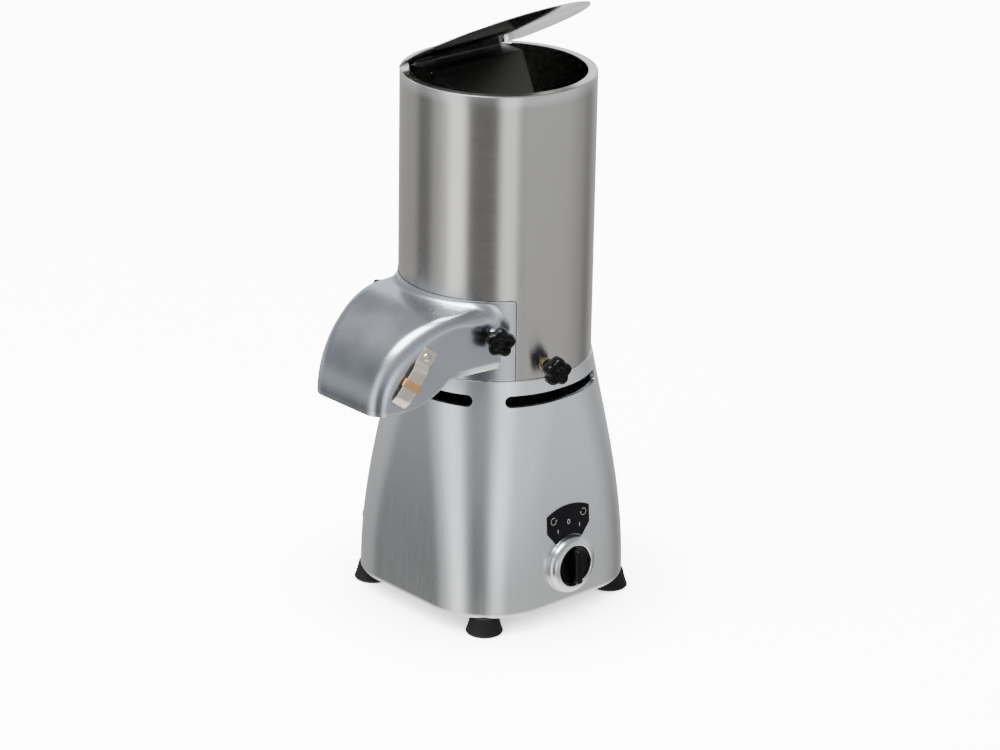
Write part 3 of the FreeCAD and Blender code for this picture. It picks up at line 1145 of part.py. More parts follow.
check_everything()
os.makedirs("parts", exist_ok=True)
for part in parts:
    part.Shape.exportStep("parts/%s.step" % part.Label)
print("%d sub-parts written" % len(parts))
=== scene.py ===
import json
import math

import bmesh
import bpy
from mathutils import Matrix, Vector


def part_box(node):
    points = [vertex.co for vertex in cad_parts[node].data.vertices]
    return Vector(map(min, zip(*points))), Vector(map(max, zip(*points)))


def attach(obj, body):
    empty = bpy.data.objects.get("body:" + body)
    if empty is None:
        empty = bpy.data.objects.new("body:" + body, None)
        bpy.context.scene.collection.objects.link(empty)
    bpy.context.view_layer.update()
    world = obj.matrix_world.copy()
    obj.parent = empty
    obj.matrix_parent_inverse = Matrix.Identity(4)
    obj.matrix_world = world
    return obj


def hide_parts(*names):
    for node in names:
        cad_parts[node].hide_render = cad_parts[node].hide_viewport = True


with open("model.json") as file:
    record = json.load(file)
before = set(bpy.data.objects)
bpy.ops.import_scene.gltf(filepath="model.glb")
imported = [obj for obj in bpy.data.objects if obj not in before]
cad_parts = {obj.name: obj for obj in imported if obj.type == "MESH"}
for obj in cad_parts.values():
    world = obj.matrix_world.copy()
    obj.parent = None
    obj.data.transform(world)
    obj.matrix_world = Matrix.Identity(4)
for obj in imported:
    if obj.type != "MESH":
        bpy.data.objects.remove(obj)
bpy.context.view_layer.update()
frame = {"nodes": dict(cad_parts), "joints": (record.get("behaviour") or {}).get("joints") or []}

# The photographer's camera: a long lens on a stand, a little above the hopper and turned to the front left
# corner. The machine's vertical axis passes through the middle of its picture.
CAMERA_AT = Vector((-2.4045, -2.6334, 1.637))
CAMERA_TURN = math.radians(42.5)
CAMERA_PITCH = math.radians(21.48)
CAMERA_ROLL = math.radians(-0.97)
LENS_MM = 133.2


def turned_back(across, depth, height):
    """A direction in front of the camera, turned into the machine's own axes."""
    c, s = math.cos(CAMERA_TURN), math.sin(CAMERA_TURN)
    return Vector((c * across + s * depth, -s * across + c * depth, height))


ahead = turned_back(0, math.cos(CAMERA_PITCH), -math.sin(CAMERA_PITCH))
level_right = turned_back(1, 0, 0)
level_down = turned_back(0, -math.sin(CAMERA_PITCH), -math.cos(CAMERA_PITCH))
picture_right = math.cos(CAMERA_ROLL) * level_right + math.sin(CAMERA_ROLL) * level_down
picture_down = math.cos(CAMERA_ROLL) * level_down - math.sin(CAMERA_ROLL) * level_right
lens = bpy.data.cameras.new("photo_camera")
lens.lens = LENS_MM
lens.sensor_width = 36.0
lens.clip_end = 20.0
camera = bpy.data.objects.new("photo_camera", lens)
camera_axes = Matrix((picture_right, -picture_down, -ahead)).transposed()
camera.matrix_world = Matrix.LocRotScale(CAMERA_AT, camera_axes, None)
bpy.context.scene.collection.objects.link(camera)
bpy.context.scene.camera = camera


# The base: one aluminium casting, a bell from the round seam to a soft square foot line, with a raised
# platform inside the hopper. It is cast, turned at the seam and brushed up and down, with four air slots
# under its shoulder.
MM = 0.001
base_low, base_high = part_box("base_housing")
tube_low, tube_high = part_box("hopper_tube")
SEAM = tube_low.z - 0.2 * MM
TUBE_R = tube_high.x
BASE_HALF = base_high.x
BASE_CORNER = 75.4 * MM
BASE_WALL = 4.5 * MM
FLARE_POWER = 1.1
SPIGOT_R = 98.5 * MM
SHAFT_HOLE_R = 14 * MM
DECK = SEAM - 10 * MM
SLOT_MIDDLE = 245 * MM
SLOT_HALF_HEIGHT = 6 * MM
SLOT_END = math.radians(36)
SLOT_STRAIGHT = math.radians(32.5)
SLOT_CUT_IN, SLOT_CUT_OUT = 84 * MM, 132 * MM


def square_reach(half, corner, turn):
    """Distance from the middle to the edge of a square with round corners, in the direction of turn."""
    a = abs(math.remainder(turn, math.pi / 2))
    flat = half - corner
    if math.tan(a) <= flat / half:
        return half / math.cos(a)
    mixed = flat * (math.cos(a) + math.sin(a))
    return mixed + math.sqrt(max(mixed * mixed - 2 * flat * flat + corner * corner, 0))


def bell_ring(level, inset=0.0):
    """Half side and corner radius of the bell at a level."""
    share = max(0.0, min(1.0, (SEAM - level) / (SEAM - base_low.z)))
    flare = math.sin(math.pi / 2 * share) ** FLARE_POWER
    half = TUBE_R + MM + (BASE_HALF - TUBE_R - MM) * flare
    corner = TUBE_R - (TUBE_R - BASE_CORNER) * flare
    return half - inset, corner - inset, level


def mesh_piece(name, verts, faces, material, smooth=35.0):
    """A mesh object from points and faces, smooth except at edges sharper than the given angle."""
    mesh = bpy.data.meshes.new(name)
    mesh.from_pydata([tuple(v) for v in verts], [], faces)
    mesh.validate()
    return dressed(name, mesh, material, smooth)


def dressed(name, mesh, material, smooth=35.0):
    """An object for a mesh, smooth shaded and in one material."""
    mesh.shade_smooth()
    mesh.set_sharp_from_angle(angle=math.radians(smooth))
    mesh.materials.clear()
    mesh.materials.append(material)
    piece = bpy.data.objects.new(name, mesh)
    bpy.context.scene.collection.objects.link(piece)
    return piece


def grid_faces(rows, columns, wrap_columns=True, wrap_rows=False, flip=False):
    """Four-sided faces between rows of points."""
    faces = []
    for row in range(rows if wrap_rows else rows - 1):
        for column in range(columns if wrap_columns else columns - 1):
            here, up = row * columns, ((row + 1) % rows) * columns
            side = (column + 1) % columns
            face = (here + column, here + side, up + side, up + column)
            faces.append(face[::-1] if flip else face)
    return faces


def capped_faces(rows, columns):
    """The faces of a closed bar: rows of points round it, and a flat face at each end."""
    ends = [tuple(range(columns))[::-1], tuple(range((rows - 1) * columns, rows * columns))]
    return grid_faces(rows, columns) + ends


def ring_verts(reach, level, steps, place=Matrix.Identity(4)):
    """Points round a +Z axis at a level, each as far out as reach(turn) says."""
    verts = []
    for step in range(steps):
        turn = 2 * math.pi * step / steps
        verts.append(place @ Vector((reach(turn) * math.cos(turn), reach(turn) * math.sin(turn), level)))
    return verts


def turned_verts(profile, steps, place):
    """Points of a profile of (radius, height) pairs swept round a +Z axis."""
    verts = []
    for radius, level in profile:
        verts += ring_verts(lambda turn: radius, level, steps, place)
    return verts


def turned_piece(name, profile, material, steps=96, place=Matrix.Identity(4), closed=True):
    """A turned solid; the profile runs anticlockwise seen with +Z up and the radius to the right."""
    verts = turned_verts(profile, steps, place)
    return mesh_piece(name, verts, grid_faces(len(profile), steps, wrap_rows=closed), material)


def in_metres(profile):
    """A profile drawn in millimetres."""
    return [(radius * MM, height * MM) for radius, height in profile]


def carve(piece, cutters, smooth=35.0):
    """Cut closed cutter pieces away from a piece, then delete them."""
    for cutter in cutters:
        cut = piece.modifiers.new("cut", "BOOLEAN")
        cut.operation = "DIFFERENCE"
        cut.solver = "EXACT"
        cut.object = cutter
    baked(piece, smooth)
    for cutter in cutters:
        mesh = cutter.data
        bpy.data.objects.remove(cutter)
        bpy.data.meshes.remove(mesh)


def baked(piece, smooth=35.0):
    """Write a piece's modifiers into its mesh."""
    shaped = piece.evaluated_get(bpy.context.evaluated_depsgraph_get())
    mesh = bpy.data.meshes.new_from_object(shaped)
    old = piece.data
    piece.modifiers.clear()
    piece.data = mesh
    bpy.data.meshes.remove(old)
    mesh.shade_smooth()
    mesh.set_sharp_from_angle(angle=math.radians(smooth))


def joined(name, pieces):
    """Several pieces of one material as one object."""
    work = bmesh.new()
    material = pieces[0].data.materials[0]
    for piece in pieces:
        work.from_mesh(piece.data)
        mesh = piece.data
        bpy.data.objects.remove(piece)
        bpy.data.meshes.remove(mesh)
    mesh = bpy.data.meshes.new(name)
    work.to_mesh(mesh)
    work.free()
    return dressed(name, mesh, material)


def fitted(piece, body, slot, *nodes):
    """Fix a finished piece to the body that carries it, in the place of its plain nodes."""
    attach(piece, body)
    if nodes:
        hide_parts(*nodes)
    return piece


def fill(tree, socket, value):
    """Set an input socket to a value, or let another socket drive it."""
    if isinstance(value, bpy.types.NodeSocket):
        tree.links.new(value, socket)
    else:
        socket.default_value = value


def feed(tree, node, **inputs):
    """Fill a node's inputs by name, with _ for each space."""
    for label, value in inputs.items():
        fill(tree, node.inputs[label.replace("_", " ")], value)
    return node


def add_node(tree, kind, settings=None, **inputs):
    """A shader node of a kind, with its settings made and its inputs filled."""
    node = tree.nodes.new("ShaderNode" + kind)
    for name, value in (settings or {}).items():
        setattr(node, name, value)
    return feed(tree, node, **inputs)


def math_node(tree, operation, *values, clamp=False):
    """The result of one sum on sockets or plain numbers."""
    node = add_node(tree, "Math", {"operation": operation, "use_clamp": clamp})
    for socket, value in zip(node.inputs, values):
        fill(tree, socket, value)
    return node.outputs[0]


def between(tree, factor, low, high):
    """A value that runs from low to high as the factor goes from 0 to 1."""
    return add_node(tree, "MapRange", Value=factor, To_Min=low, To_Max=high).outputs["Result"]


def tinted(tree, factor, first, second):
    """The first colour, giving way to the second as the factor rises. A colour is a triple or a socket."""
    ends = [(*colour, 1.0) if isinstance(colour, tuple) else colour for colour in (first, second)]
    return add_node(tree, "Mix", {"data_type": "RGBA"}, Factor=factor, A=ends[0], B=ends[1]).outputs["Result"]


def new_group(name, inputs, outputs):
    """A shader node group whose inputs, with their defaults, and outputs are all values."""
    group = bpy.data.node_groups.new(name, "ShaderNodeTree")
    for label, default in inputs.items():
        socket = group.interface.new_socket(label, in_out="INPUT", socket_type="NodeSocketFloat")
        socket.default_value = default
    for label in outputs:
        group.interface.new_socket(label, in_out="OUTPUT", socket_type="NodeSocketFloat")
    return group, group.nodes.new("NodeGroupInput").outputs, group.nodes.new("NodeGroupOutput")


def placed(tree, group, **values):
    """The outputs of one use of a node group, with its named inputs filled."""
    return add_node(tree, "Group", {"node_tree": group}, **values).outputs


def brushed_group():
    """Brushing that follows a round wall: thin lines along Z or round it, and faint clouds of handling."""
    group, given, result = new_group("brushed_lines", {"Across": 900.0, "Along": 6.0, "Cloud Scale": 14.0},
                                     ["Lines", "Clouds"])
    place = add_node(group, "TexCoord").outputs["Object"]
    parts = add_node(group, "SeparateXYZ", Vector=place).outputs
    turn = math_node(group, "ARCTAN2", parts["Y"], parts["X"])
    arc = math_node(group, "MULTIPLY", turn, TUBE_R)
    across = math_node(group, "MULTIPLY", arc, given["Across"])
    along = math_node(group, "MULTIPLY", parts["Z"], given["Along"])
    path = add_node(group, "CombineXYZ", X=across, Y=along).outputs["Vector"]
    lines = add_node(group, "TexNoise", Vector=path, Scale=1.0, Detail=4.0, Roughness=0.6)
    clouds = add_node(group, "TexNoise", Vector=place, Scale=given["Cloud Scale"], Detail=4.0)
    feed(group, result, Lines=lines.outputs["Fac"], Clouds=clouds.outputs["Fac"])
    return group


def grain_group():
    """Fine grain of a casting or a moulding, with a broader unevenness."""
    group, given, result = new_group("surface_grain", {"Grain Scale": 1400.0, "Broad Scale": 25.0},
                                     ["Grain", "Broad"])
    place = add_node(group, "TexCoord").outputs["Object"]
    for label in ("Grain", "Broad"):
        noise = add_node(group, "TexNoise", Vector=place, Scale=given[label + " Scale"], Detail=3.0)
        fill(group, result.inputs[label], noise.outputs["Fac"])
    return group


def wear_group():
    """A mask of the worn, lighter edges of a piece."""
    group, given, result = new_group("edge_wear", {"Start": 0.52, "End": 0.6}, ["Wear"])
    shape = add_node(group, "NewGeometry").outputs["Pointiness"]
    mask = add_node(group, "MapRange", Value=shape, From_Min=given["Start"], From_Max=given["End"])
    feed(group, result, Wear=mask.outputs["Result"])
    return group


BRUSHED = brushed_group()
GRAIN = grain_group()
WEAR = wear_group()
LINE_SHINE = 0.06
BROAD_SHINE = 0.05


def bumped(tree, shader, height, distance):
    """Lift a surface by a height socket, at most a distance in metres."""
    bump = add_node(tree, "Bump", Height=height, Distance=distance, Strength=1.0)
    feed(tree, shader, Normal=bump.outputs["Normal"])


def new_finish(name, **sockets):
    """A material with one Principled shader and its even values."""
    material = bpy.data.materials.new(name)
    material.use_nodes = True
    tree = material.node_tree
    return material, tree, feed(tree, tree.nodes["Principled BSDF"], **sockets)


def brushed_metal(name, dark, light, rough, across=900.0, along=6.0, stretch=0.0, bump=0.00002, marks=0.25):
    """Bare brushed metal: thin lines tint it, roughen it and lift it, and clouds of handling dull it."""
    material, tree, shader = new_finish(name, Metallic=1.0, Anisotropic=stretch, Anisotropic_Rotation=0.25)
    surface = placed(tree, BRUSHED, Across=across, Along=along)
    clouds = math_node(tree, "MULTIPLY_ADD", surface["Clouds"], marks, -0.5 * marks)
    share = math_node(tree, "ADD", surface["Lines"], clouds, clamp=True)
    shine = between(tree, share, rough + LINE_SHINE, rough - LINE_SHINE)
    feed(tree, shader, Base_Color=tinted(tree, share, dark, light), Roughness=shine)
    bumped(tree, shader, surface["Lines"], bump)
    if stretch:
        tangent = add_node(tree, "Tangent", {"direction_type": "RADIAL", "axis": "Z"})
        feed(tree, shader, Tangent=tangent.outputs["Tangent"])
    return material


def grained(name, dark, light, rough, metallic=0.0, grain=1400.0, bump=0.00003, wear=None, **sockets):
    """A cast or moulded surface with grain, a broad unevenness and, where given, lighter worn edges."""
    material, tree, shader = new_finish(name, Metallic=metallic, **sockets)
    surface = placed(tree, GRAIN, Grain_Scale=grain)
    colour = tinted(tree, surface["Broad"], dark, light)
    if wear:
        colour = tinted(tree, placed(tree, WEAR)["Wear"], colour, wear)
    shine = between(tree, surface["Broad"], rough - BROAD_SHINE, rough + BROAD_SHINE)
    feed(tree, shader, Base_Color=colour, Roughness=shine)
    bumped(tree, shader, surface["Grain"], bump)
    return material


CAST_ALUMINIUM = brushed_metal("cast_aluminium", (0.68, 0.70, 0.72), (0.80, 0.82, 0.84), 0.29, across=700.0,
                               along=14.0, stretch=0.2, bump=0.00001)

SHOULDER = SEAM - 4 * MM
TOP_ROUND = 0.8 * MM
BELL_STEPS = 64
levels = [SEAM - MM, SEAM - 2 * MM, SHOULDER]
levels += [SHOULDER - (SHOULDER - base_low.z - MM) * step / BELL_STEPS for step in range(1, BELL_STEPS + 1)]
rings = [bell_ring(base_low.z, 0.6 * MM)] + [bell_ring(level) for level in reversed(levels)]
for step in range(5):
    turn = math.pi / 2 * step / 4
    half, corner, level = bell_ring(SEAM - TOP_ROUND)
    drawn_in = TOP_ROUND * (1 - math.cos(turn))
    rings.append((half - drawn_in, corner - drawn_in, SEAM - TOP_ROUND * (1 - math.sin(turn))))
for radius, level in ((SPIGOT_R, SEAM), (SPIGOT_R, base_high.z - MM), (SPIGOT_R - MM, base_high.z),
                      (SHAFT_HOLE_R, base_high.z), (SHAFT_HOLE_R, DECK)):
    rings.append((radius, radius, level))
rings.append(bell_ring(DECK, BASE_WALL))
rings += [bell_ring(DECK - (DECK - base_low.z) * step / 16, BASE_WALL) for step in range(1, 17)]
COLUMNS = 288
bell_verts = []
for half, corner, level in rings:
    bell_verts += ring_verts(lambda turn: square_reach(half, corner, turn), level, COLUMNS)
base = mesh_piece("base_casting", bell_verts, grid_faces(len(rings), COLUMNS, wrap_rows=True), CAST_ALUMINIUM)


def air_slot(face_turn):
    """A closed cutter for one air slot: a band round the shaft with half-round ends."""
    steps = 48
    verts = []
    for radius in (SLOT_CUT_IN, SLOT_CUT_OUT):
        for step in range(steps + 1):
            share = 2.0 * step / steps - 1.0
            swing = SLOT_END * math.sin(share * math.pi / 2)
            past = max(0.0, (abs(swing) - SLOT_STRAIGHT) / (SLOT_END - SLOT_STRAIGHT))
            half = SLOT_HALF_HEIGHT * math.sqrt(max(1 - past * past, 0.0004))
            turn = face_turn + swing
            for level in (SLOT_MIDDLE - half, SLOT_MIDDLE + half):
                verts.append((radius * math.cos(turn), radius * math.sin(turn), level))
    count = 2 * (steps + 1)
    faces = []
    for step in range(steps):
        a = 2 * step
        faces.append((a, a + 1, a + 3, a + 2))
        faces.append((count + a, count + a + 2, count + a + 3, count + a + 1))
        faces.append((a, a + 2, count + a + 2, count + a))
        faces.append((a + 1, count + a + 1, count + a + 3, a + 3))
    faces.append((0, count, count + 1, 1))
    last = count - 2
    faces.append((last, last + 1, count + last + 1, count + last))
    return mesh_piece("slot_cutter", verts, faces, CAST_ALUMINIUM)


carve(base, [air_slot(quarter * math.pi / 2) for quarter in range(4)])
fitted(base, "base", "cast_body", "base_housing")


# The feet: four black rubber cones, wider at the floor, moulded with a step below. Each is held by a screw
# driven up through its middle.
BLACK_RUBBER = grained("black_rubber", (0.006, 0.006, 0.0065), (0.014, 0.014, 0.015), 0.6, grain=2600.0,
                       bump=0.00004, wear=(0.04, 0.04, 0.04), Specular_IOR_Level=0.2)
SCREW_STEEL = grained("screw_steel", (0.52, 0.52, 0.51), (0.68, 0.67, 0.65), 0.32, metallic=1.0, grain=3000.0,
                      bump=0.00001)
FOOT_TOP_R = 14.5 * MM
for corner in ("front_left", "front_right", "rear_left", "rear_right"):
    low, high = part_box("foot_" + corner)
    middle = Matrix.Translation(((low.x + high.x) / 2, (low.y + high.y) / 2, 0))
    wide, slim, tall = (high.x - low.x) / 2, FOOT_TOP_R, high.z
    foot_profile = [(7 * MM, 10 * MM), (7 * MM, 0.6 * MM), (7.6 * MM, 0), (wide - 2.2 * MM, 0),
                    (wide - 0.8 * MM, 0.5 * MM), (wide - 0.1 * MM, 1.6 * MM), (wide - 0.5 * MM, 3.2 * MM)]
    for step in range(1, 9):
        share = step / 8
        reach = wide - 0.5 * MM + (slim - wide + 0.5 * MM) * share ** 0.8
        foot_profile.append((reach, 3.2 * MM + (tall - 4.2 * MM) * share))
    foot_profile += [(slim - 0.5 * MM, tall - 0.3 * MM), (slim - 1.2 * MM, tall), (3.1 * MM, tall),
                     (3.1 * MM, 10 * MM)]
    foot = turned_piece("rubber_foot_" + corner, foot_profile, BLACK_RUBBER, steps=64, place=middle)
    fitted(foot, "base", "black_rubber", "foot_" + corner)


def finish_nodes(material, *nodes):
    """Give CAD nodes that stay in view their real finish."""
    for node in nodes:
        thing = frame["nodes"][node]
        thing.data.materials.clear()
        thing.data.materials.append(material)


finish_nodes(SCREW_STEEL, "foot_screws", "bottom_screws", "motor_screws")


# The bottom plate: a flat steel sheet that closes the casting, and the cable gland beside it in the back
# wall, a black nylon fitting with a ribbed nut. The gland stands empty.
DULL_SHEET = brushed_metal("dull_sheet", (0.40, 0.40, 0.39), (0.56, 0.56, 0.55), 0.42, across=300.0,
                           along=60.0)
BLACK_NYLON = grained("black_nylon", (0.014, 0.014, 0.015), (0.03, 0.03, 0.031), 0.45, grain=2200.0,
                      bump=0.00002)
finish_nodes(DULL_SHEET, "bottom_plate", "capacitor_clamp", "fan_cover", "backing_strips")
low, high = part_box("cable_gland")
gland_at = Vector(((low.x + high.x) / 2, low.y, (low.z + high.z) / 2))
gland_place = Matrix.Translation(gland_at) @ Matrix.Rotation(-math.pi / 2, 4, "X")
gland_long = high.y - low.y
body_profile = [(4.5, 0), (7.9, 0), (7.9, 14.6), (11.0, 14.7), (11.5, 15.2), (11.5, 20.4), (11.0, 21.0),
                (9.0, 21.0), (9.0, 21.6), (4.5, 21.6)]
gland_body = turned_piece("gland_body", in_metres(body_profile), BLACK_NYLON, 72, gland_place)
NUT_STEPS, NUT_R, RIBS, RIB_DEEP, RIB_END = 120, 9.6, 20, 0.45, 28.0


def nut_reach(turn, level, share):
    """The nut's outline: ribs that end where it tapers."""
    rib = RIB_DEEP * (0.5 + 0.5 * math.cos(turn * RIBS)) if level < RIB_END else 0.0
    return (NUT_R * share + rib * share) * MM


NUT_ROWS = [(21.6, 0.94), (22.4, 1.0), (27.2, 1.0), (29.0, 0.86), (31.2, 0.74), (gland_long / MM, 0.7)]
nut_verts = []
for level, share in NUT_ROWS:
    nut_verts += ring_verts(lambda turn: nut_reach(turn, level, share), level * MM, NUT_STEPS, gland_place)
nut_bore = [(4.9, gland_long / MM), (4.5, gland_long / MM - 0.6), (4.5, 21.6)]
nut_verts += turned_verts(in_metres(nut_bore), NUT_STEPS, gland_place)
gland_nut = mesh_piece("gland_nut", nut_verts, grid_faces(9, NUT_STEPS, wrap_rows=True), BLACK_NYLON)
fitted(joined("cable_gland_fitting", [gland_body, gland_nut]), "base", "black_plastic", "cable_gland")


# The switch: a turned aluminium bezel with a soft shoulder, a black moulded handle with a tapered bar across
# it, and the contact block behind the wall. It stands square to the sloping front wall.
def joint_named(name):
    """The frame's entry for one joint."""
    return next(joint for joint in frame["joints"] if joint["name"] == name)


def seated(at, axis, upward=(0, 0, 1)):
    """A place whose +Z runs along an axis, with +Y as near to upward as it can be."""
    out = Vector(axis).normalized()
    side = Vector(upward).cross(out).normalized()
    return Matrix.LocRotScale(Vector(at), Matrix((side, out.cross(side), out)).transposed(), None)


switch_joint = joint_named("switch_turn")
switch_place = seated(switch_joint["pos_m"], switch_joint["axis"])
BEZEL_R = (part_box("switch_bezel")[1].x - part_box("switch_bezel")[0].x) / 2
TURNED_ALUMINIUM = grained("turned_aluminium", (0.66, 0.67, 0.68), (0.78, 0.79, 0.80), 0.24, metallic=1.0,
                           grain=1800.0, bump=0.000008)
BLACK_PLASTIC = grained("black_plastic", (0.0015, 0.0015, 0.0018), (0.004, 0.004, 0.0045), 0.2, grain=2400.0,
                        bump=0.00001, wear=(0.012, 0.012, 0.012), Specular_IOR_Level=0.14)
bezel_profile = [(6, 0.05), (31, 0.05), (31, 1.6), (30.6, 2.3)]
for step in range(1, 9):
    turn = math.pi / 2 * step / 8
    bezel_profile.append((24.2 + 6.4 * math.cos(turn), 2.3 + 8.9 * math.sin(turn)))
bezel_profile += [(23.6, 11.6), (22.8, 11.75), (22.1, 11.5), (21.4, 10.8), (21.2, 9.8), (21.2, 2.5), (6, 2.5)]
bezel_scale = BEZEL_R / 31
bezel = turned_piece("switch_bezel_ring", [(r * bezel_scale, z * MM) for r, z in bezel_profile],
                     TURNED_ALUMINIUM, 128, switch_place)
fitted(bezel, "base", "bezel_metal", "switch_bezel")

disc_profile = [(0, -24), (5, -24), (5, 3), (20.2, 3), (20.8, 3.6), (20.8, 8.2), (20.4, 8.8), (19.6, 9.0),
                (18.6, 8.6), (17.8, 8.4), (0, 8.4)]
disc = turned_piece("handle_disc", in_metres(disc_profile), BLACK_PLASTIC, 96, switch_place, closed=False)
bar_rows = [(8.0, 5.6, 19.2), (10.0, 5.4, 19.2), (14.0, 5.0, 18.9), (17.2, 4.6, 18.5), (18.2, 4.1, 18.0),
            (18.5, 3.2, 17.1)]
BAR_STEPS = 64
bar_verts = []
for level, half_wide, half_long in bar_rows:
    for step in range(BAR_STEPS):
        turn = 2 * math.pi * step / BAR_STEPS
        wide = half_wide * math.copysign(abs(math.cos(turn)) ** 0.45, math.cos(turn))
        long_way = half_long * math.copysign(abs(math.sin(turn)) ** 0.72, math.sin(turn))
        bar_verts.append(switch_place @ Vector((wide * MM, long_way * MM, level * MM)))
bar_faces = grid_faces(len(bar_rows), BAR_STEPS) + [tuple(range(5 * BAR_STEPS, 6 * BAR_STEPS))]
bar = mesh_piece("handle_bar", bar_verts, bar_faces, BLACK_PLASTIC, smooth=50)
fitted(joined("switch_handle_grip", [disc, bar]), "switch_turn_body", "black_plastic", "switch_handle")
GREY_PLASTIC = grained("grey_plastic", (0.34, 0.34, 0.33), (0.42, 0.42, 0.41), 0.5, grain=2000.0,
                       bump=0.00002)
finish_nodes(GREY_PLASTIC, "switch_block", "terminal_block", "run_capacitor")


# The label: a black plate shaped as part of a ring over the switch, with printed white marks for off, for on
# at either side, and a small turning sign for each way.
LABEL_LEAN = math.radians(3.8)
LABEL_OUT = 64.7
LABEL_IN = BEZEL_R / MM + 0.5
LABEL_FROM = -44.5
LABEL_THICK = 0.9
PLATE_BEVEL = 0.12
PRINT_THICK = 0.05
LABEL_BLACK = grained("label_black", (0.004, 0.004, 0.006), (0.008, 0.008, 0.011), 0.35, grain=1500.0,
                      bump=0.000005, Specular_IOR_Level=0.12)
LABEL_WHITE = grained("label_white", (0.62, 0.62, 0.60), (0.74, 0.74, 0.72), 0.5, grain=2500.0, bump=0.000005)
label_at = Vector((0, -116.7 * MM, 106 * MM))
label_place = Matrix.Translation(label_at) @ Matrix.Rotation(math.pi / 2 - LABEL_LEAN, 4, "X")


def label_outline():
    """Points round the plate, in millimetres from its middle, with its corners rounded."""
    half, foot = 29.0, 18.0
    corner_y = math.sqrt(LABEL_OUT ** 2 - half ** 2) + LABEL_FROM - 1.2
    points = []
    for step in range(25):
        x = -half + 0.8 + (2 * half - 1.6) * step / 24
        points.append((x, math.sqrt(LABEL_OUT ** 2 - x * x) + LABEL_FROM - 0.4))
    points += [(half - 0.1, corner_y), (half, -5.5), (half - 0.5, -6.4)]
    for step in range(13):
        x = foot - 2 * foot * step / 12
        points.append((x, math.sqrt(LABEL_IN ** 2 - x * x) + LABEL_FROM))
    points += [(-half + 0.5, -6.4), (-half, -5.5), (-half + 0.1, corner_y)]
    return points


def flat_plate(name, outline, place, low, high, material):
    """A plate with a small bevel round its upper edge; the outline is in millimetres, clockwise."""
    middle = Vector((sum(x for x, y in outline) / len(outline), sum(y for x, y in outline) / len(outline)))
    rows = ((low, 0.0), (high - PLATE_BEVEL, 0.0), (high, PLATE_BEVEL))
    verts = []
    for level, inset in rows:
        for x, y in outline:
            spot = Vector((x, y))
            spot -= (spot - middle).normalized() * inset
            verts.append(place @ Vector((spot.x * MM, spot.y * MM, level * MM)))
    count = len(outline)
    faces = grid_faces(3, count, flip=True)
    faces.append(tuple(range(2 * count, 3 * count))[::-1])
    faces.append(tuple(range(count)))
    return mesh_piece(name, verts, faces, material, 30)


plate = flat_plate("label_sheet", label_outline(), label_place, 0.0, LABEL_THICK, LABEL_BLACK)
fitted(plate, "base", "label_black", "label_plate")


def stroke(name, points, wide, closed=False):
    """A white printed line of even width on the label, through points in millimetres."""
    verts = []
    count = len(points)
    for number, point in enumerate(points):
        before = Vector(points[(number - 1) % count] if closed or number else point)
        after = Vector(points[(number + 1) % count] if closed or number < count - 1 else point)
        run = (after - before).normalized()
        side = Vector((-run.y, run.x)) * wide / 2
        for way, lift in ((1, 0), (1, PRINT_THICK), (-1, PRINT_THICK), (-1, 0)):
            spot = Vector(point) + side * way
            verts.append(label_place @ Vector((spot.x * MM, spot.y * MM, (LABEL_THICK + lift) * MM)))
    faces = grid_faces(count, 4, wrap_rows=True) if closed else capped_faces(count, 4)
    return mesh_piece(name, verts, faces, LABEL_WHITE, 30)


def ring_points(x, y, radius, start=0.0, sweep=360.0, squash=1.0):
    """Points round a circle or a part of one, in millimetres and degrees."""
    count = max(8, int(abs(sweep) / 12))
    turns = [math.radians(start + sweep * step / count) for step in range(count + (sweep < 360))]
    return [(x + radius * squash * math.cos(turn), y + radius * math.sin(turn)) for turn in turns]


marks = [stroke("mark_off", ring_points(0, 1.5, 2.3, squash=0.7), 0.7, closed=True)]
SIGN_X, SIGN_Y, SIGN_R = 20.8, 7.0, 3.6
for side in (-1, 1):
    marks.append(stroke("mark_on", [(side * 15.0, -7.6), (side * 15.0, -3.4)], 0.8))
    arrow = ring_points(side * SIGN_X, SIGN_Y, SIGN_R, 90 + side * 30, -side * 300)
    marks.append(stroke("mark_turn", arrow, 0.45))
    tip_turn = math.radians(90 - side * 270)
    tip = Vector((side * SIGN_X + SIGN_R * math.cos(tip_turn), SIGN_Y + SIGN_R * math.sin(tip_turn)))
    barbs = [(tip.x - 1.1, tip.y + 1.0), (tip.x, tip.y - 0.4), (tip.x + 1.2, tip.y + 0.9)]
    marks.append(stroke("mark_tip", barbs, 0.45))
fitted(joined("label_marks", marks), "base", "label_black")


# The motor: a ribbed housing hung from the deck, with shields, bearings, wound stator and a fan under it.
# Only glints of it show through the air slots.
# The motor's dark grey is taken nearly to black: painted shade for the inside of the air slots.
MOTOR_PAINTED_DARK = grained("motor_grey", (0.012, 0.013, 0.014), (0.022, 0.023, 0.025), 0.6, grain=900.0,
                     bump=0.00006, wear=(0.05, 0.05, 0.05), Specular_IOR_Level=0.2)
CORE_STEEL = grained("core_steel", (0.22, 0.22, 0.22), (0.32, 0.32, 0.31), 0.45, metallic=1.0, grain=2400.0)
COPPER_WIRE = grained("copper_wire", (0.36, 0.14, 0.06), (0.52, 0.24, 0.11), 0.35, metallic=0.9, grain=900.0,
                      bump=0.0002)
finish_nodes(MOTOR_PAINTED_DARK, "motor_housing", "motor_upper_shield", "motor_lower_shield")
finish_nodes(CORE_STEEL, "stator_core", "rotor_core")
finish_nodes(COPPER_WIRE, "stator_windings")
finish_nodes(SCREW_STEEL, "upper_bearing", "lower_bearing", "motor_shaft", "rotor_nut")
finish_nodes(BLACK_NYLON, "cooling_fan")
finish_nodes(BLACK_RUBBER, "shaft_seal")


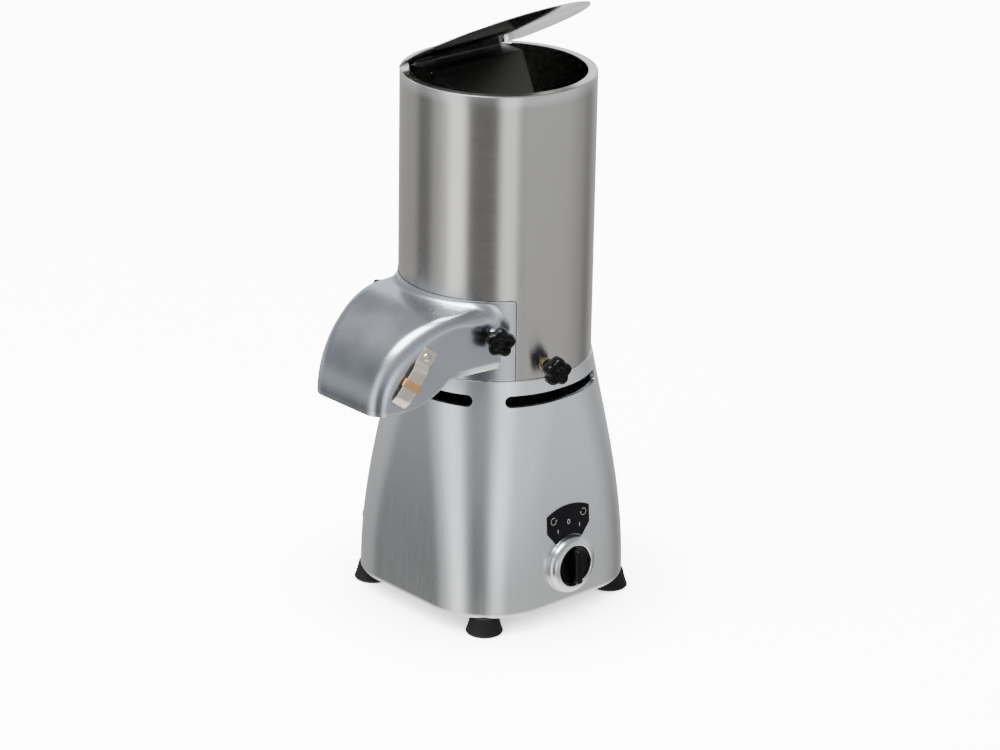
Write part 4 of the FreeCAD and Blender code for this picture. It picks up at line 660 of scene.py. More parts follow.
# The grinding set: a stainless sweeper plate and a cast rotor with toothed arms, inside a slotted ring under
# a spun funnel. Crumbs have polished the arms and the ring.
GROUND_STEEL = brushed_metal("ground_steel", (0.44, 0.43, 0.41), (0.62, 0.61, 0.58), 0.34, across=500.0,
                             along=200.0)
ROTOR_IRON = grained("rotor_iron", (0.30, 0.30, 0.30), (0.42, 0.42, 0.41), 0.42, metallic=1.0, grain=700.0,
                     bump=0.0001, wear=(0.66, 0.65, 0.63))
finish_nodes(GROUND_STEEL, "sweeper_plate", "grater_ring", "funnel_collar")
finish_nodes(ROTOR_IRON, "beater_rotor")


# The spout: a cast aluminium hood bent down over its mouth, sanded to a blue-grey satin. It grows through a
# hollow blend out of a curved flange that fills the foot of the hopper. A thin strip in black rubber runs
# round the flange as painted shade for the dark gap at its edge. The round between its crown and its sides is
# tightest over the bend.
REACH = -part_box("spout")[0].x
FLANGE_R = 100.6 * MM
FLANGE_IN = 97 * MM
FLANGE_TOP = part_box("spout")[1].z - 0.2 * MM
FLANGE_LOW = SEAM + 0.4 * MM
FLANGE_TURN = math.radians(59.7)
ELBOW_R = 91 * MM
MOUTH = 252.6 * MM
ELBOW_X = -(REACH - ELBOW_R)
CROWN_TILT = math.radians(3)
SILL = 280 * MM
HOOD_WALL = 4 * MM
ELBOW_ROUND, MOUTH_ROUND, ROOT_ROUND = 11 * MM, 16 * MM, 18 * MM
CROWN_FILLET, SIDE_FILLET = 8 * MM, 10 * MM
ROOT_LEDGE = 2 * MM
BEND_X, BEND_HALF, MOUTH_HALF = 105 * MM, 72.1 * MM, 50.5 * MM
SIDE_SLOPE = (BEND_HALF - MOUTH_HALF) / (REACH - BEND_X)
ROOT_SLOPE = 0.15
BELLY_START, BELLY_R = 122 * MM, 84 * MM
BELLY_X, BELLY_Z = -184.1 * MM, 336.6 * MM
EDGE_ROLL, EDGE_BAND, EDGE_FADE = 2.2 * MM, 7 * MM, 30 * MM
GROWN_FROM, GROWN_OVER = 115 * MM, 50 * MM
ROOTED_FROM, ROOTED_OVER = 112 * MM, 26 * MM
BLEND_STEPS = 9
CAST_SPOUT = grained("sanded_casting", (0.45, 0.48, 0.53), (0.53, 0.56, 0.62), 0.26, metallic=1.0,
                     grain=1500.0, bump=0.00001, wear=(0.70, 0.72, 0.75))


def half_width(x):
    """Half the hood's width at a distance from the shaft."""
    return BEND_HALF - (-x - BEND_X) * (SIDE_SLOPE if -x > BEND_X else ROOT_SLOPE)


def belly(angle):
    """Distance from the elbow's centre to the lower edge of the side wall, at an angle from straight up."""
    across, up = -math.sin(angle), math.cos(angle)
    sill = (SILL - MOUTH) / max(up, 0.001)
    if -ELBOW_X - sill * across <= BELLY_START:
        return sill
    offset = across * (ELBOW_X - BELLY_X) + up * (MOUTH - BELLY_Z)
    gap = (ELBOW_X - BELLY_X) ** 2 + (MOUTH - BELLY_Z) ** 2 - BELLY_R ** 2
    return -offset - math.sqrt(max(offset * offset - gap, 0))


# One side of the hood from its lower edge to the middle of the crown: (zone, share of the zone).
HOOD_COLUMNS = [("band", step / 5) for step in range(5)] + [("wall", step / 10) for step in range(10)]
HOOD_COLUMNS += [("round", step / 10) for step in range(11)] + [("crown", step / 18) for step in range(1, 19)]


def hood_point(angle, run, column, inset):
    """A point of the hood and its outward normal: on the elbow, or at a run back from it to the flange."""
    zone, share = column
    radius = ELBOW_R - inset
    across, up = -math.sin(angle), math.cos(angle)
    back_x, back_z = math.cos(CROWN_TILT) * run, math.sin(CROWN_TILT) * run

    def at(down):
        return ELBOW_X + across * (radius - down) + back_x, MOUTH + up * (radius - down) + back_z

    top_x = at(0)[0]
    grown = min(max((-top_x - GROWN_FROM) / GROWN_OVER, 0.0), 1.0)
    rooted = min(max((ROOTED_FROM + top_x) / ROOTED_OVER, 0.0), 1.0)
    corner = ELBOW_ROUND + (MOUTH_ROUND - ELBOW_ROUND) * grown + (ROOT_ROUND - ELBOW_ROUND) * rooted ** 1.5
    corner -= inset
    drop = radius - belly(angle)
    if run:
        drop = (MOUTH + up * radius + back_z - SILL) / math.cos(CROWN_TILT)
    wall = max(drop - corner, 0)
    band = min(EDGE_BAND, 0.5 * wall)
    side = Vector((-SIDE_SLOPE, 1, 0)).normalized()
    lid = Vector((across, 0, up))
    if zone == "crown":
        x, z = at(0)
        return Vector((x, (half_width(x) - inset - corner) * (1 - share), z)), lid
    turn = math.pi / 2 * share if zone == "round" else 0.0
    down = corner * (1 - math.sin(turn))
    if zone == "band":
        down = drop - band * share
    elif zone == "wall":
        down = drop - band - (wall - band) * share
    x, z = at(down)
    inward = inset + corner * (1 - math.cos(turn))
    if zone == "band" and not inset:
        inward += EDGE_ROLL * (1 - share) * min(max((BELLY_START + x) / EDGE_FADE, 0.0), 1.0)
    return Vector((x, half_width(x) - inward, z)), (side * math.cos(turn) + lid * math.sin(turn)).normalized()


def run_to(column, inset, radius):
    """How far back along a column the hood meets a cylinder about the shaft."""
    near, far = 0.0, 90 * MM
    for _ in range(40):
        middle = (near + far) / 2
        spot = hood_point(CROWN_TILT, middle, column, inset)[0]
        near, far = (middle, far) if math.hypot(spot.x, spot.y) > radius else (near, middle)
    return near


def root_blend(spot, out):
    """Points up the hollow blend from the hood to the flange, cut level with the flange's top."""
    flange_out = Vector((spot.x, spot.y, 0)).normalized()
    turn = math.acos(max(min(out.dot(flange_out), 1), -1))
    along = (flange_out - out * math.cos(turn)).normalized()
    hollow = CROWN_FILLET + SIDE_FILLET * 4 * out.z * (1 - out.z)
    centre = spot + along * hollow * math.tan(turn / 2) + out * hollow

    def at(angle):
        return centre - (out * math.cos(angle) + along * math.sin(angle)) * hollow

    last = turn
    while at(last).z > FLANGE_TOP - ROOT_LEDGE and last > 0.01:
        last -= 0.01
    blend = [at(last * step / BLEND_STEPS) for step in range(BLEND_STEPS, -1, -1)]
    flat = Vector((blend[0].x, blend[0].y, 0)).normalized() * (FLANGE_R - 0.4 * MM)
    return [Vector((flat.x, flat.y, blend[0].z))] + blend


def hood_skin(inset):
    """Rows of points over the whole hood, from the flange to the mouth, drawn in by an inset."""
    half = []
    for column in HOOD_COLUMNS:
        run = run_to(column, inset, FLANGE_IN if inset else FLANGE_R)
        spot, out = hood_point(CROWN_TILT, run, column, inset)
        line = [spot] * (BLEND_STEPS + 2) if inset else root_blend(spot, out)
        shift = line[-1] - spot
        length = run - max(shift.dot(Vector((-math.cos(CROWN_TILT), 0, -math.sin(CROWN_TILT)))), 0)
        onward = hood_point(CROWN_TILT, length, column, inset)[0]
        for step in range(1, 13):
            share = step / 12
            here = hood_point(CROWN_TILT, length * (1 - share), column, inset)[0]
            line.append(here + (line[BLEND_STEPS + 1] - onward) * (1 - share) ** 2)
        for step in range(1, 41):
            angle = CROWN_TILT + (math.pi / 2 - CROWN_TILT) * step / 40
            line.append(hood_point(angle, 0, column, inset)[0])
        half.append(line)
    rows = []
    for number in range(len(half[0])):
        near = [line[number] for line in half]
        rows.append([Vector((spot.x, -spot.y, spot.z)) for spot in near[:-1]] + near[::-1])
    return rows


outer_skin = hood_skin(0.0)
inner_skin = hood_skin(HOOD_WALL)
hood_columns = len(outer_skin[0])
hood_rows = len(outer_skin)
hood_verts = [point for row in outer_skin + inner_skin for point in row]
inner_start = hood_rows * hood_columns
hood_faces = grid_faces(hood_rows, hood_columns, wrap_columns=False, flip=True)
hood_faces += [tuple(inner_start + v for v in face[::-1]) for face in hood_faces
               if min(face) >= (BLEND_STEPS + 1) * hood_columns]
for row in range(hood_rows - 1):
    for column in (0, hood_columns - 1):
        a = row * hood_columns + column
        b = a + hood_columns
        face = (a, b, inner_start + b, inner_start + a)
        hood_faces.append(face if column == 0 else face[::-1])
mouth_row = (hood_rows - 1) * hood_columns
for column in range(hood_columns - 1):
    a = mouth_row + column
    hood_faces.append((a, a + 1, inner_start + a + 1, inner_start + a))
hood = mesh_piece("spout_hood", hood_verts, hood_faces, CAST_SPOUT)


def soften(piece, width, segments, sharpest=30.0):
    """Bevel the edges that are sharper than an angle in degrees."""
    edge = piece.modifiers.new("soft_edges", "BEVEL")
    edge.width = width
    edge.segments = segments
    edge.limit_method = "ANGLE"
    edge.angle_limit = math.radians(sharpest)


soften(hood, 0.6 * MM, 3, 55)
baked(hood, 60)
UNDER_DEEP = 2.5 * MM


def under_hood(y, z):
    """True where a point of the flange lies behind the hood's wall, well inside its outline."""
    width = half_width(-math.sqrt(FLANGE_R ** 2 - y * y)) - UNDER_DEEP
    crown = MOUTH + ELBOW_R - UNDER_DEEP
    corner = ROOT_ROUND - UNDER_DEEP
    if abs(y) > width or z > crown or z < SILL + UNDER_DEEP:
        return False
    over, up = abs(y) - (width - corner), z - (crown - corner)
    return over <= 0 or up <= 0 or math.hypot(over, up) <= corner


FLANGE_STEPS = 120
FLANGE_ROWS = 48
CORNER_R = 3 * MM
flange_verts = []
for radius in (FLANGE_R, FLANGE_IN):
    for step in range(FLANGE_STEPS + 1):
        share = 2 * step / FLANGE_STEPS - 1
        turn = FLANGE_TURN * math.copysign(1 - (1 - abs(share)) ** 1.15, share)
        from_end = (FLANGE_TURN - abs(turn)) * radius
        drop = 0.0
        if from_end < CORNER_R:
            drop = CORNER_R - math.sqrt(max(CORNER_R ** 2 - (CORNER_R - from_end) ** 2, 0))
        if radius == FLANGE_IN:
            drop += 3 * MM
        for row in range(FLANGE_ROWS + 1):
            level = FLANGE_LOW + (FLANGE_TOP - drop - FLANGE_LOW) * row / FLANGE_ROWS
            flange_verts.append(Vector((-radius * math.cos(turn), radius * math.sin(turn), level)))
sheet = (FLANGE_STEPS + 1) * (FLANGE_ROWS + 1)
flange_faces = []
for step in range(FLANGE_STEPS):
    for row in range(FLANGE_ROWS):
        a = step * (FLANGE_ROWS + 1) + row
        b = a + FLANGE_ROWS + 1
        middle = (flange_verts[a] + flange_verts[b + 1]) / 2
        if under_hood(middle.y, middle.z):
            continue
        flange_faces.append((a, a + 1, b + 1, b))
        flange_faces.append((sheet + a, sheet + b, sheet + b + 1, sheet + a + 1))
for step in range(FLANGE_STEPS):
    for row in (0, FLANGE_ROWS):
        a = step * (FLANGE_ROWS + 1) + row
        b = a + FLANGE_ROWS + 1
        face = (a, b, sheet + b, sheet + a)
        flange_faces.append(face if row == 0 else face[::-1])
for row in range(FLANGE_ROWS):
    for step in (0, FLANGE_STEPS):
        a = step * (FLANGE_ROWS + 1) + row
        face = (a, sheet + a, sheet + a + 1, a + 1)
        flange_faces.append(face if step == 0 else face[::-1])
flange = mesh_piece("spout_flange", flange_verts, flange_faces, CAST_SPOUT)

SILL_WALL = 4 * MM
SILL_X, SILL_END_X = -112 * MM, -126 * MM
SILL_STEPS = 25
near_half = half_width(SILL_X) - HOOD_WALL
far_half = half_width(SILL_END_X) - HOOD_WALL
sill_verts = []
for step in range(SILL_STEPS):
    y = (near_half + 0.5 * MM) * (2 * step / (SILL_STEPS - 1) - 1)
    near = -math.sqrt(FLANGE_IN ** 2 - min(abs(y), 66 * MM) ** 2)
    far_y = y * far_half / near_half
    top = SILL + SILL_WALL
    sill_verts += [(near, y, SILL), (SILL_END_X + MM, far_y, SILL - 1.6 * MM)]
    sill_verts += [(SILL_END_X, far_y, SILL - 0.8 * MM), (SILL_END_X, far_y, top - 0.8 * MM)]
    sill_verts += [(SILL_END_X + MM, far_y, top), (near, y, top)]
sill = mesh_piece("spout_sill", sill_verts, capped_faces(SILL_STEPS, 6), CAST_SPOUT)

BOSS_PROFILE = [(3.3, 96.2), (10.5, 96.2), (9.6, 99.0), (8.6, 101.2), (8.1, 103.5), (8.0, 108.2),
                (7.2, 109.0), (3.3, 109.0)]
bosses = []
for joint in frame["joints"]:
    if joint["name"].startswith("spout_knob"):
        boss_place = seated((0, 0, joint["pos_m"][2]), joint["axis"])
        bosses.append(turned_piece("stud_boss", in_metres(BOSS_PROFILE), CAST_SPOUT, 48, boss_place))
fitted(joined("spout_casting", [hood, flange, sill] + bosses), "base", "cast_spout", "spout")

# A thin black strip along the seam between the flange and the tube: painted shade for the dark gap there,
# drawn in black rubber.
SHADE_STRIP_GAP, SHADE_STRIP_WIDE = 0.05 * MM, 1.0 * MM
SHADE_STRIP_IN, SHADE_STRIP_OUT = 98.9 * MM, 100.2 * MM
half_arc = FLANGE_TURN * FLANGE_R
shade_strip_line = [(-1, -half_arc, FLANGE_LOW, 180)]
shade_strip_line += [(-1, CORNER_R - half_arc, FLANGE_TOP - CORNER_R, 180 - 90 * step / 6) for step in range(7)]
shade_strip_line += [(0, -half_arc + CORNER_R + (half_arc - CORNER_R) * step / 30, FLANGE_TOP, 90)
              for step in range(1, 60)]
shade_strip_line += [(1, half_arc - CORNER_R, FLANGE_TOP - CORNER_R, 90 - 90 * step / 6) for step in range(7)]
shade_strip_line += [(1, half_arc, FLANGE_LOW, 0)]
shade_strip_verts = []
for side, arc, level, lean in shade_strip_line:
    reach = CORNER_R if side and level > FLANGE_LOW else 0.0
    away = (math.cos(math.radians(lean)), math.sin(math.radians(lean)))
    for out, radius in ((SHADE_STRIP_GAP, SHADE_STRIP_IN), (SHADE_STRIP_GAP, SHADE_STRIP_OUT), (SHADE_STRIP_WIDE, SHADE_STRIP_OUT),
                        (SHADE_STRIP_WIDE, SHADE_STRIP_IN)):
        turn = (arc + (reach + out) * away[0]) / FLANGE_R
        shade_strip_verts.append((-radius * math.cos(turn), radius * math.sin(turn),
                           level + (reach + out) * away[1]))
shade_strip = mesh_piece("flange_seal", shade_strip_verts, capped_faces(len(shade_strip_line), 4), BLACK_RUBBER, 30)
fitted(shade_strip, "base", "black_rubber")
finish_nodes(SCREW_STEEL, "spout_studs", "hopper_studs", "hinge_pin")


# The star knobs: five-lobed black mouldings with rounded rims and a hub behind, screwed on steel studs. Two
# clamp the spout's flange and two, each over a small brass collar, hold the hopper on the base.
LOBES = 5
BRASS = grained("turned_brass", (0.56, 0.42, 0.20), (0.74, 0.60, 0.33), 0.28, metallic=1.0, grain=1600.0,
                bump=0.00001)
KNOB_STEPS = 160
LOBE_TURN = math.radians(12)
STAR_DEEP = 13 * MM


def star_radius(turn):
    """The knob's outline: lobes 15 mm out with shallow valleys between them."""
    wave = 0.5 + 0.5 * math.cos(LOBES * turn)
    return (11.9 + 3.1 * wave ** 0.72) * MM


def span_along(node, axis):
    """The nearest and farthest point of a CAD node along an axis through the shaft."""
    reach = [v.co.dot(Vector(axis)) for v in frame["nodes"][node].data.vertices]
    return min(reach), max(reach)


def star_knob(name, joint):
    """One knob on its stud, as long as its CAD node."""
    place = seated((0, 0, joint["pos_m"][2]), joint["axis"])
    start, finish = span_along(name, joint["axis"])
    hub_end = start + (finish - start - STAR_DEEP)
    hub = [(start, 3.1), (start, 7.3), (start + 0.6 * MM, 8.0), (hub_end - 0.4 * MM, 8.0), (hub_end, 8.6)]
    star = [(hub_end, -2.2), (hub_end + 0.5 * MM, -0.9), (hub_end + 1.6 * MM, 0.0), (finish - 3.4 * MM, 0.0),
            (finish - 1.9 * MM, -0.5), (finish - 0.8 * MM, -1.4), (finish - 0.2 * MM, -2.6), (finish, -4.2),
            (finish - 0.1 * MM, -6.6)]
    cap = [(finish - 0.5 * MM, 5.2), (finish - 0.7 * MM, 4.8), (finish, 4.4), (finish, 3.4), (finish, 0.02)]
    verts = turned_verts([(radius * MM, level) for level, radius in hub], KNOB_STEPS, place)
    for level, size in star:
        verts += ring_verts(lambda turn: star_radius(turn - LOBE_TURN) + size * MM, level, KNOB_STEPS, place)
    verts += turned_verts([(radius * MM, level) for level, radius in cap], KNOB_STEPS, place)
    faces = grid_faces(len(hub) + len(star) + len(cap), KNOB_STEPS)
    return mesh_piece("star_" + name, verts, faces, BLACK_PLASTIC, 50)


for joint in frame["joints"]:
    if "knob" not in joint["name"]:
        continue
    node = joint["name"].replace("_turn", "")
    fitted(star_knob(node, joint), joint["child"], "black_plastic", node)
for name in ("front", "rear"):
    joint = joint_named("hopper_knob_%s_turn" % name)
    start, finish = span_along("knob_collar_" + name, joint["axis"])
    place = seated((0, 0, joint["pos_m"][2]), joint["axis"])
    profile = [(3.1, start), (6.1, start), (6.5, start + 0.4 * MM), (6.5, finish - 0.4 * MM), (6.1, finish),
               (3.1, finish)]
    collar = turned_piece("brass_collar_" + name, [(r * MM, z) for r, z in profile], BRASS, 64, place)
    fitted(collar, "base", "brass", "knob_collar_" + name)


# The clips: a spring steel strip on each side of the hood, stepped off the wall, held at the top by one
# screw and wrapped by a tan rubber band. Each leans down toward the mouth.
SPRING_STEEL = grained("spring_steel", (0.64, 0.57, 0.49), (0.78, 0.70, 0.61), 0.3, metallic=0.85,
                       grain=1200.0, bump=0.00001, wear=(0.8, 0.76, 0.7))
TAN_RUBBER = grained("tan_rubber", (0.42, 0.22, 0.08), (0.56, 0.31, 0.13), 0.55, grain=2400.0, bump=0.00004)
CLIP_LEAN = math.radians(36)
STRIP_HALF = 9.0
STRIP = [(2.0, 0.0), (-6.0, 0.0), (-8.2, 0.1), (-10.0, 0.8), (-13.0, 2.4), (-15.0, 3.3), (-17.0, 3.6),
         (-24.0, 3.6), (-32.0, 3.6), (-40.0, 3.6), (-46.5, 3.6), (-48.2, 3.5), (-50.0, 2.9), (-52.5, 1.9)]
STRIP_ROWS = [(8.0, 0.0, 7.6), (7.7, 0.0, 8.4), (7.0, 0.0, 8.9)]
STRIP_ROWS += [(along, lift, STRIP_HALF) for along, lift in STRIP]
STRIP_ROWS += [(-54.0, 1.35, STRIP_HALF), (-54.8, 1.1, 8.5), (-55.0, 1.0, 7.8)]
BAND_STEPS = 48
BAND = [(-28.2, 0.0), (-28.0, 0.9), (-28.8, 1.3), (-32.2, 1.5), (-35.6, 1.3), (-36.4, 0.9), (-36.2, 0.0)]
SCREW_HEAD = [(0.01, -5.4), (2.35, -5.4), (2.4, 1.05), (4.5, 1.05), (4.7, 1.5), (4.4, 2.4), (3.6, 3.3),
              (2.4, 4.0), (1.2, 4.25), (0.01, 4.3)]


def thicken(piece, thickness, offset):
    """Give a sheet its thickness: 0 on both sides of it, 1 on its outer side."""
    thick = piece.modifiers.new("thickness", "SOLIDIFY")
    thick.thickness = thickness
    thick.offset = offset


for joint in frame["joints"]:
    if "swivel" not in joint["name"]:
        continue
    name = "front" if "front" in joint["name"] else "rear"
    out = Vector(joint["axis"]).normalized()
    side_way = Vector((0, 0, 1)).cross(out) * (-1 if name == "front" else 1)
    upward = Vector((0, 0, 1)) * math.cos(CLIP_LEAN) - side_way * math.sin(CLIP_LEAN)
    clip_place = seated(Vector(joint["pos_m"]) + out * 0.3 * MM, out, upward)
    verts = []
    for along, lift, wide in STRIP_ROWS:
        for share in (-1, -0.6, -0.2, 0.2, 0.6, 1):
            verts.append(clip_place @ Vector((share * wide * MM, along * MM, lift * MM)))
    faces = grid_faces(len(STRIP_ROWS), 6, wrap_columns=False, flip=True)
    strip = mesh_piece("strip_" + name, verts, faces, SPRING_STEEL)
    thicken(strip, MM, 1)
    soften(strip, 0.15 * MM, 2)
    baked(strip, 40)
    fitted(strip, joint["child"], "spring_steel", "spout_clip_" + name)
    band_rows = []
    for step in range(BAND_STEPS):
        turn = 2 * math.pi * step / BAND_STEPS
        band_rows.append((math.copysign(abs(math.cos(turn)) ** 0.25, math.cos(turn)),
                          math.copysign(abs(math.sin(turn)) ** 0.5, math.sin(turn))))
    band_verts = []
    for along, swell in BAND:
        for across, over in band_rows:
            side_reach, lift = (9.12 + swell) * across * MM, (4.1 + (0.62 + swell) * over) * MM
            band_verts.append(clip_place @ Vector((side_reach, along * MM, lift)))
    band = mesh_piece("band_" + name, band_verts, grid_faces(len(BAND), BAND_STEPS, wrap_rows=True),
                      TAN_RUBBER, 50)
    fitted(band, joint["child"], "tan_rubber", "clip_band_" + name)
    head = turned_piece("clip_screw_head_" + name, in_metres(SCREW_HEAD), SCREW_STEEL, 48, clip_place,
                        closed=False)
    cross = []
    for turn in (0.6, 0.6 + math.pi / 2):
        box = bmesh.new()
        bmesh.ops.create_cube(box, size=1.0)
        cutter_mesh = bpy.data.meshes.new("cross_cutter")
        box.to_mesh(cutter_mesh)
        box.free()
        slot_place = clip_place @ Matrix.Rotation(turn, 4, "Z") @ Matrix.Translation((0, 0, 4.2 * MM))
        cutter_mesh.transform(slot_place @ Matrix.Diagonal((5.2 * MM, 0.9 * MM, 2.2 * MM, 1)))
        cross.append(dressed("cross_cutter", cutter_mesh, SCREW_STEEL))
    carve(head, cross, 30)
    fitted(head, "base", "screw_steel", "clip_screw_" + name)


# The hopper: a tube rolled from stainless sheet, welded up its back, with a flat rim turned in at the top
# and a notch at its foot for the spout's flange. It is brushed around, and its polish shows soft upright
# bands.
SHEET_WALL = 1.2 * MM
RIM = tube_high.z
RIM_IN = TUBE_R - 10 * MM
BRUSHED_STEEL = brushed_metal("brushed_steel", (0.52, 0.51, 0.49), (0.60, 0.59, 0.57), 0.24, across=7.0,
                              along=900.0, stretch=0.6, bump=0.00001)
NOTCH_HALF = TUBE_R * math.sin(math.radians(60.95))
NOTCH_FOOT, NOTCH_TOP = 255 * MM, 352.1 * MM
NOTCH_NEAR, NOTCH_FAR = -20 * MM, -115 * MM
tube_profile = [(TUBE_R - SHEET_WALL, tube_low.z), (TUBE_R, tube_low.z)]
tube_profile += [(TUBE_R, tube_low.z + (RIM - tube_low.z - 1.4 * MM) * step / 24) for step in range(1, 25)]
tube_profile += [(TUBE_R - 0.3 * MM, RIM - 0.55 * MM), (TUBE_R - 1.0 * MM, RIM - 0.08 * MM),
                 (TUBE_R - 1.8 * MM, RIM), (RIM_IN + 0.5 * MM, RIM), (RIM_IN, RIM - 0.4 * MM),
                 (RIM_IN, RIM - SHEET_WALL + 0.2 * MM), (RIM_IN + 0.4 * MM, RIM - SHEET_WALL),
                 (TUBE_R - 2.2 * MM, RIM - SHEET_WALL), (TUBE_R - SHEET_WALL, RIM - 2.2 * MM)]
tube = turned_piece("hopper_sheet", tube_profile, BRUSHED_STEEL, steps=256)
notch_r = 3.4 * MM
notch_line = [(-NOTCH_HALF, NOTCH_FOOT), (NOTCH_HALF, NOTCH_FOOT)]
for side in (1, -1):
    for step in range(7):
        turn = math.pi / 2 * (step if side > 0 else 6 - step) / 6
        notch_line.append((side * (NOTCH_HALF - notch_r + notch_r * math.cos(turn)),
                           NOTCH_TOP - notch_r + notch_r * math.sin(turn)))
notch_verts = [(x, y, z) for x in (NOTCH_NEAR, NOTCH_FAR) for y, z in notch_line]
carve(tube, [mesh_piece("notch_cutter", notch_verts, capped_faces(2, len(notch_line)), BRUSHED_STEEL)])
fitted(tube, "base", "sheet_steel", "hopper_tube")


# The mouth: a steel plate that closes the back of the opening, folded down over a round edge into a sloping
# tongue, which keeps hands from the rotor. The plate is coloured near black as painted shade.
# The plate's steel is coloured near black: painted shade for the inside of the hopper under the lid.
BAFFLE_PAINTED_SHADE = brushed_metal("baffle_steel", (0.085, 0.085, 0.080), (0.14, 0.14, 0.13), 0.36, across=260.0,
                             along=90.0)
FOLD_Y = 33 * MM
FOLD_HALF = 61 * MM
TIP_HALF = 25 * MM
TONGUE = 75 * MM
TONGUE_TILT = math.radians(30)
plate_in = RIM_IN - 0.1 * MM
baffle_verts = []
baffle_rows = [("plate", step / 8) for step in range(9)] + [("fold", step / 6) for step in range(1, 7)]
baffle_rows += [("tongue", step / 12) for step in range(1, 13)]
BAFFLE_COLUMNS = 33
FOLD_R = 1.6 * MM
PLATE_TOP = RIM - 0.6 * MM
for kind, share in baffle_rows:
    for column in range(BAFFLE_COLUMNS):
        across = 2 * column / (BAFFLE_COLUMNS - 1) - 1
        x = FOLD_HALF * across
        if kind == "plate":
            back = math.sqrt(plate_in ** 2 - x * x)
            y, z = back + (FOLD_Y - back) * share, PLATE_TOP
        elif kind == "fold":
            turn = TONGUE_TILT * share
            y, z = FOLD_Y - FOLD_R * math.sin(turn), PLATE_TOP - FOLD_R * (1 - math.cos(turn))
        else:
            x = (FOLD_HALF + (TIP_HALF - FOLD_HALF) * share) * across
            run = (TONGUE - FOLD_R) * share
            y = FOLD_Y - FOLD_R * math.sin(TONGUE_TILT) - run * math.cos(TONGUE_TILT)
            z = PLATE_TOP - FOLD_R * (1 - math.cos(TONGUE_TILT)) - run * math.sin(TONGUE_TILT)
        baffle_verts.append((x, y, z))
baffle_faces = grid_faces(len(baffle_rows), BAFFLE_COLUMNS, wrap_columns=False, flip=True)
baffle = mesh_piece("safety_tongue", baffle_verts, baffle_faces, BAFFLE_PAINTED_SHADE)
thicken(baffle, SHEET_WALL, 0)
baked(baffle)
BEAD_R, BEAD_END_R = 1.1 * MM, 0.9 * MM
bead_place = Matrix.Translation((0, FOLD_Y, RIM - 1.1 * MM)) @ Matrix.Rotation(math.pi / 2, 4, "Y")
bead_profile = [(0.01 * MM, -FOLD_HALF), (BEAD_END_R, -FOLD_HALF), (BEAD_R, -FOLD_HALF + 0.3 * MM),
                (BEAD_R, FOLD_HALF - 0.3 * MM), (BEAD_END_R, FOLD_HALF), (0.01 * MM, FOLD_HALF)]
BRIGHT_STEEL = grained("bright_steel", (0.62, 0.62, 0.61), (0.74, 0.74, 0.73), 0.22, metallic=1.0,
                       grain=1500.0, bump=0.000008)
# The bead along the fold is a pale, nearly diffuse grey so that it reads as a bright line: a painted
# highlight.
PAINTED_HIGHLIGHT_EDGE = grained("worn_edge", (0.72, 0.72, 0.70), (0.86, 0.86, 0.84), 0.5, metallic=0.2, grain=1500.0,
                    bump=0.000008)
bead = turned_piece("fold_edge", bead_profile, PAINTED_HIGHLIGHT_EDGE, 24, bead_place, closed=False)
fitted(baffle, "base", "baffle_steel", "safety_baffle")
fitted(bead, "base", "polished_steel")


# The lid: a flat disc of polished stainless sheet, cut straight at the back, on a butt hinge with five
# knuckles. It stands open, and its mirror underside shows.
HINGE = Vector(joint_named("lid_hinge")["pos_m"])
LID_OPEN = math.radians(29.5)
LID_R = 101.5 * MM
LID_BACK = HINGE.y - 3.5 * MM
LID_LOW = RIM + 0.3 * MM
LID_WALL = 1.2 * MM
lid_turn = Matrix.Translation(HINGE) @ Matrix.Rotation(-LID_OPEN, 4, "X") @ Matrix.Translation(-HINGE)
POLISHED = brushed_metal("polished_sheet", (0.62, 0.62, 0.61), (0.70, 0.70, 0.69), 0.13, across=500.0,
                         along=30.0, bump=0.000002, marks=0.5)
lid_line = []
LID_STEPS = 200
back_turn = math.asin(LID_BACK / LID_R)
for step in range(LID_STEPS + 1):
    turn = math.pi - back_turn + (math.pi + 2 * back_turn) * step / LID_STEPS
    lid_line.append((LID_R * math.cos(turn), LID_R * math.sin(turn)))
lid_line += [(x * MM, LID_BACK) for x in (60, 30, 0, -30, -60)]
lid_verts = []
for level, inset in ((LID_LOW, 0.45), (LID_LOW + 0.15 * MM, 0.12), (LID_LOW + 0.6 * MM, 0.0),
                     (LID_LOW + LID_WALL - 0.15 * MM, 0.12), (LID_LOW + LID_WALL, 0.45)):
    for x, y in lid_line:
        drawn_in = 1 - inset * MM / math.hypot(x, y)
        lid_verts.append(lid_turn @ Vector((x * drawn_in, y * drawn_in, level)))
lid = mesh_piece("hopper_lid", lid_verts, capped_faces(5, len(lid_line)), POLISHED)
fitted(lid, "lid_body", "polished_steel", "lid")
finish_nodes(BRIGHT_STEEL, "hinge_leaf", "lid_leaf")


# The studio: a pale floor, rings of soft light and shade round the machine, one above another, which stand
# in the metal as upright bands, and a soft box above the left. The floor glows evenly, with a painted contact
# shadow where ambient occlusion dims its glow near the machine, and it is left out of the reflections.
FLOOR_R = 12
floor_verts = ring_verts(lambda turn: FLOOR_R, 0.0, 64)
pale_floor, floor_tree, floor_shader = new_finish("pale_floor", Roughness=0.6, Emission_Strength=11.0,
                                                  Base_Color=(0.93, 0.93, 0.93, 1.0))
# Ambient occlusion dims the floor's glow near the machine: a painted contact shadow.
painted_contact_shade = add_node(floor_tree, "AmbientOcclusion", Distance=0.12)
feed(floor_tree, floor_shader, Emission_Color=painted_contact_shade.outputs["AO"])
pale_floor.cycles.emission_sampling = "NONE"
floor = mesh_piece("floor", floor_verts, [tuple(range(64))], pale_floor)
floor.visible_glossy = False
floor.visible_diffuse = False

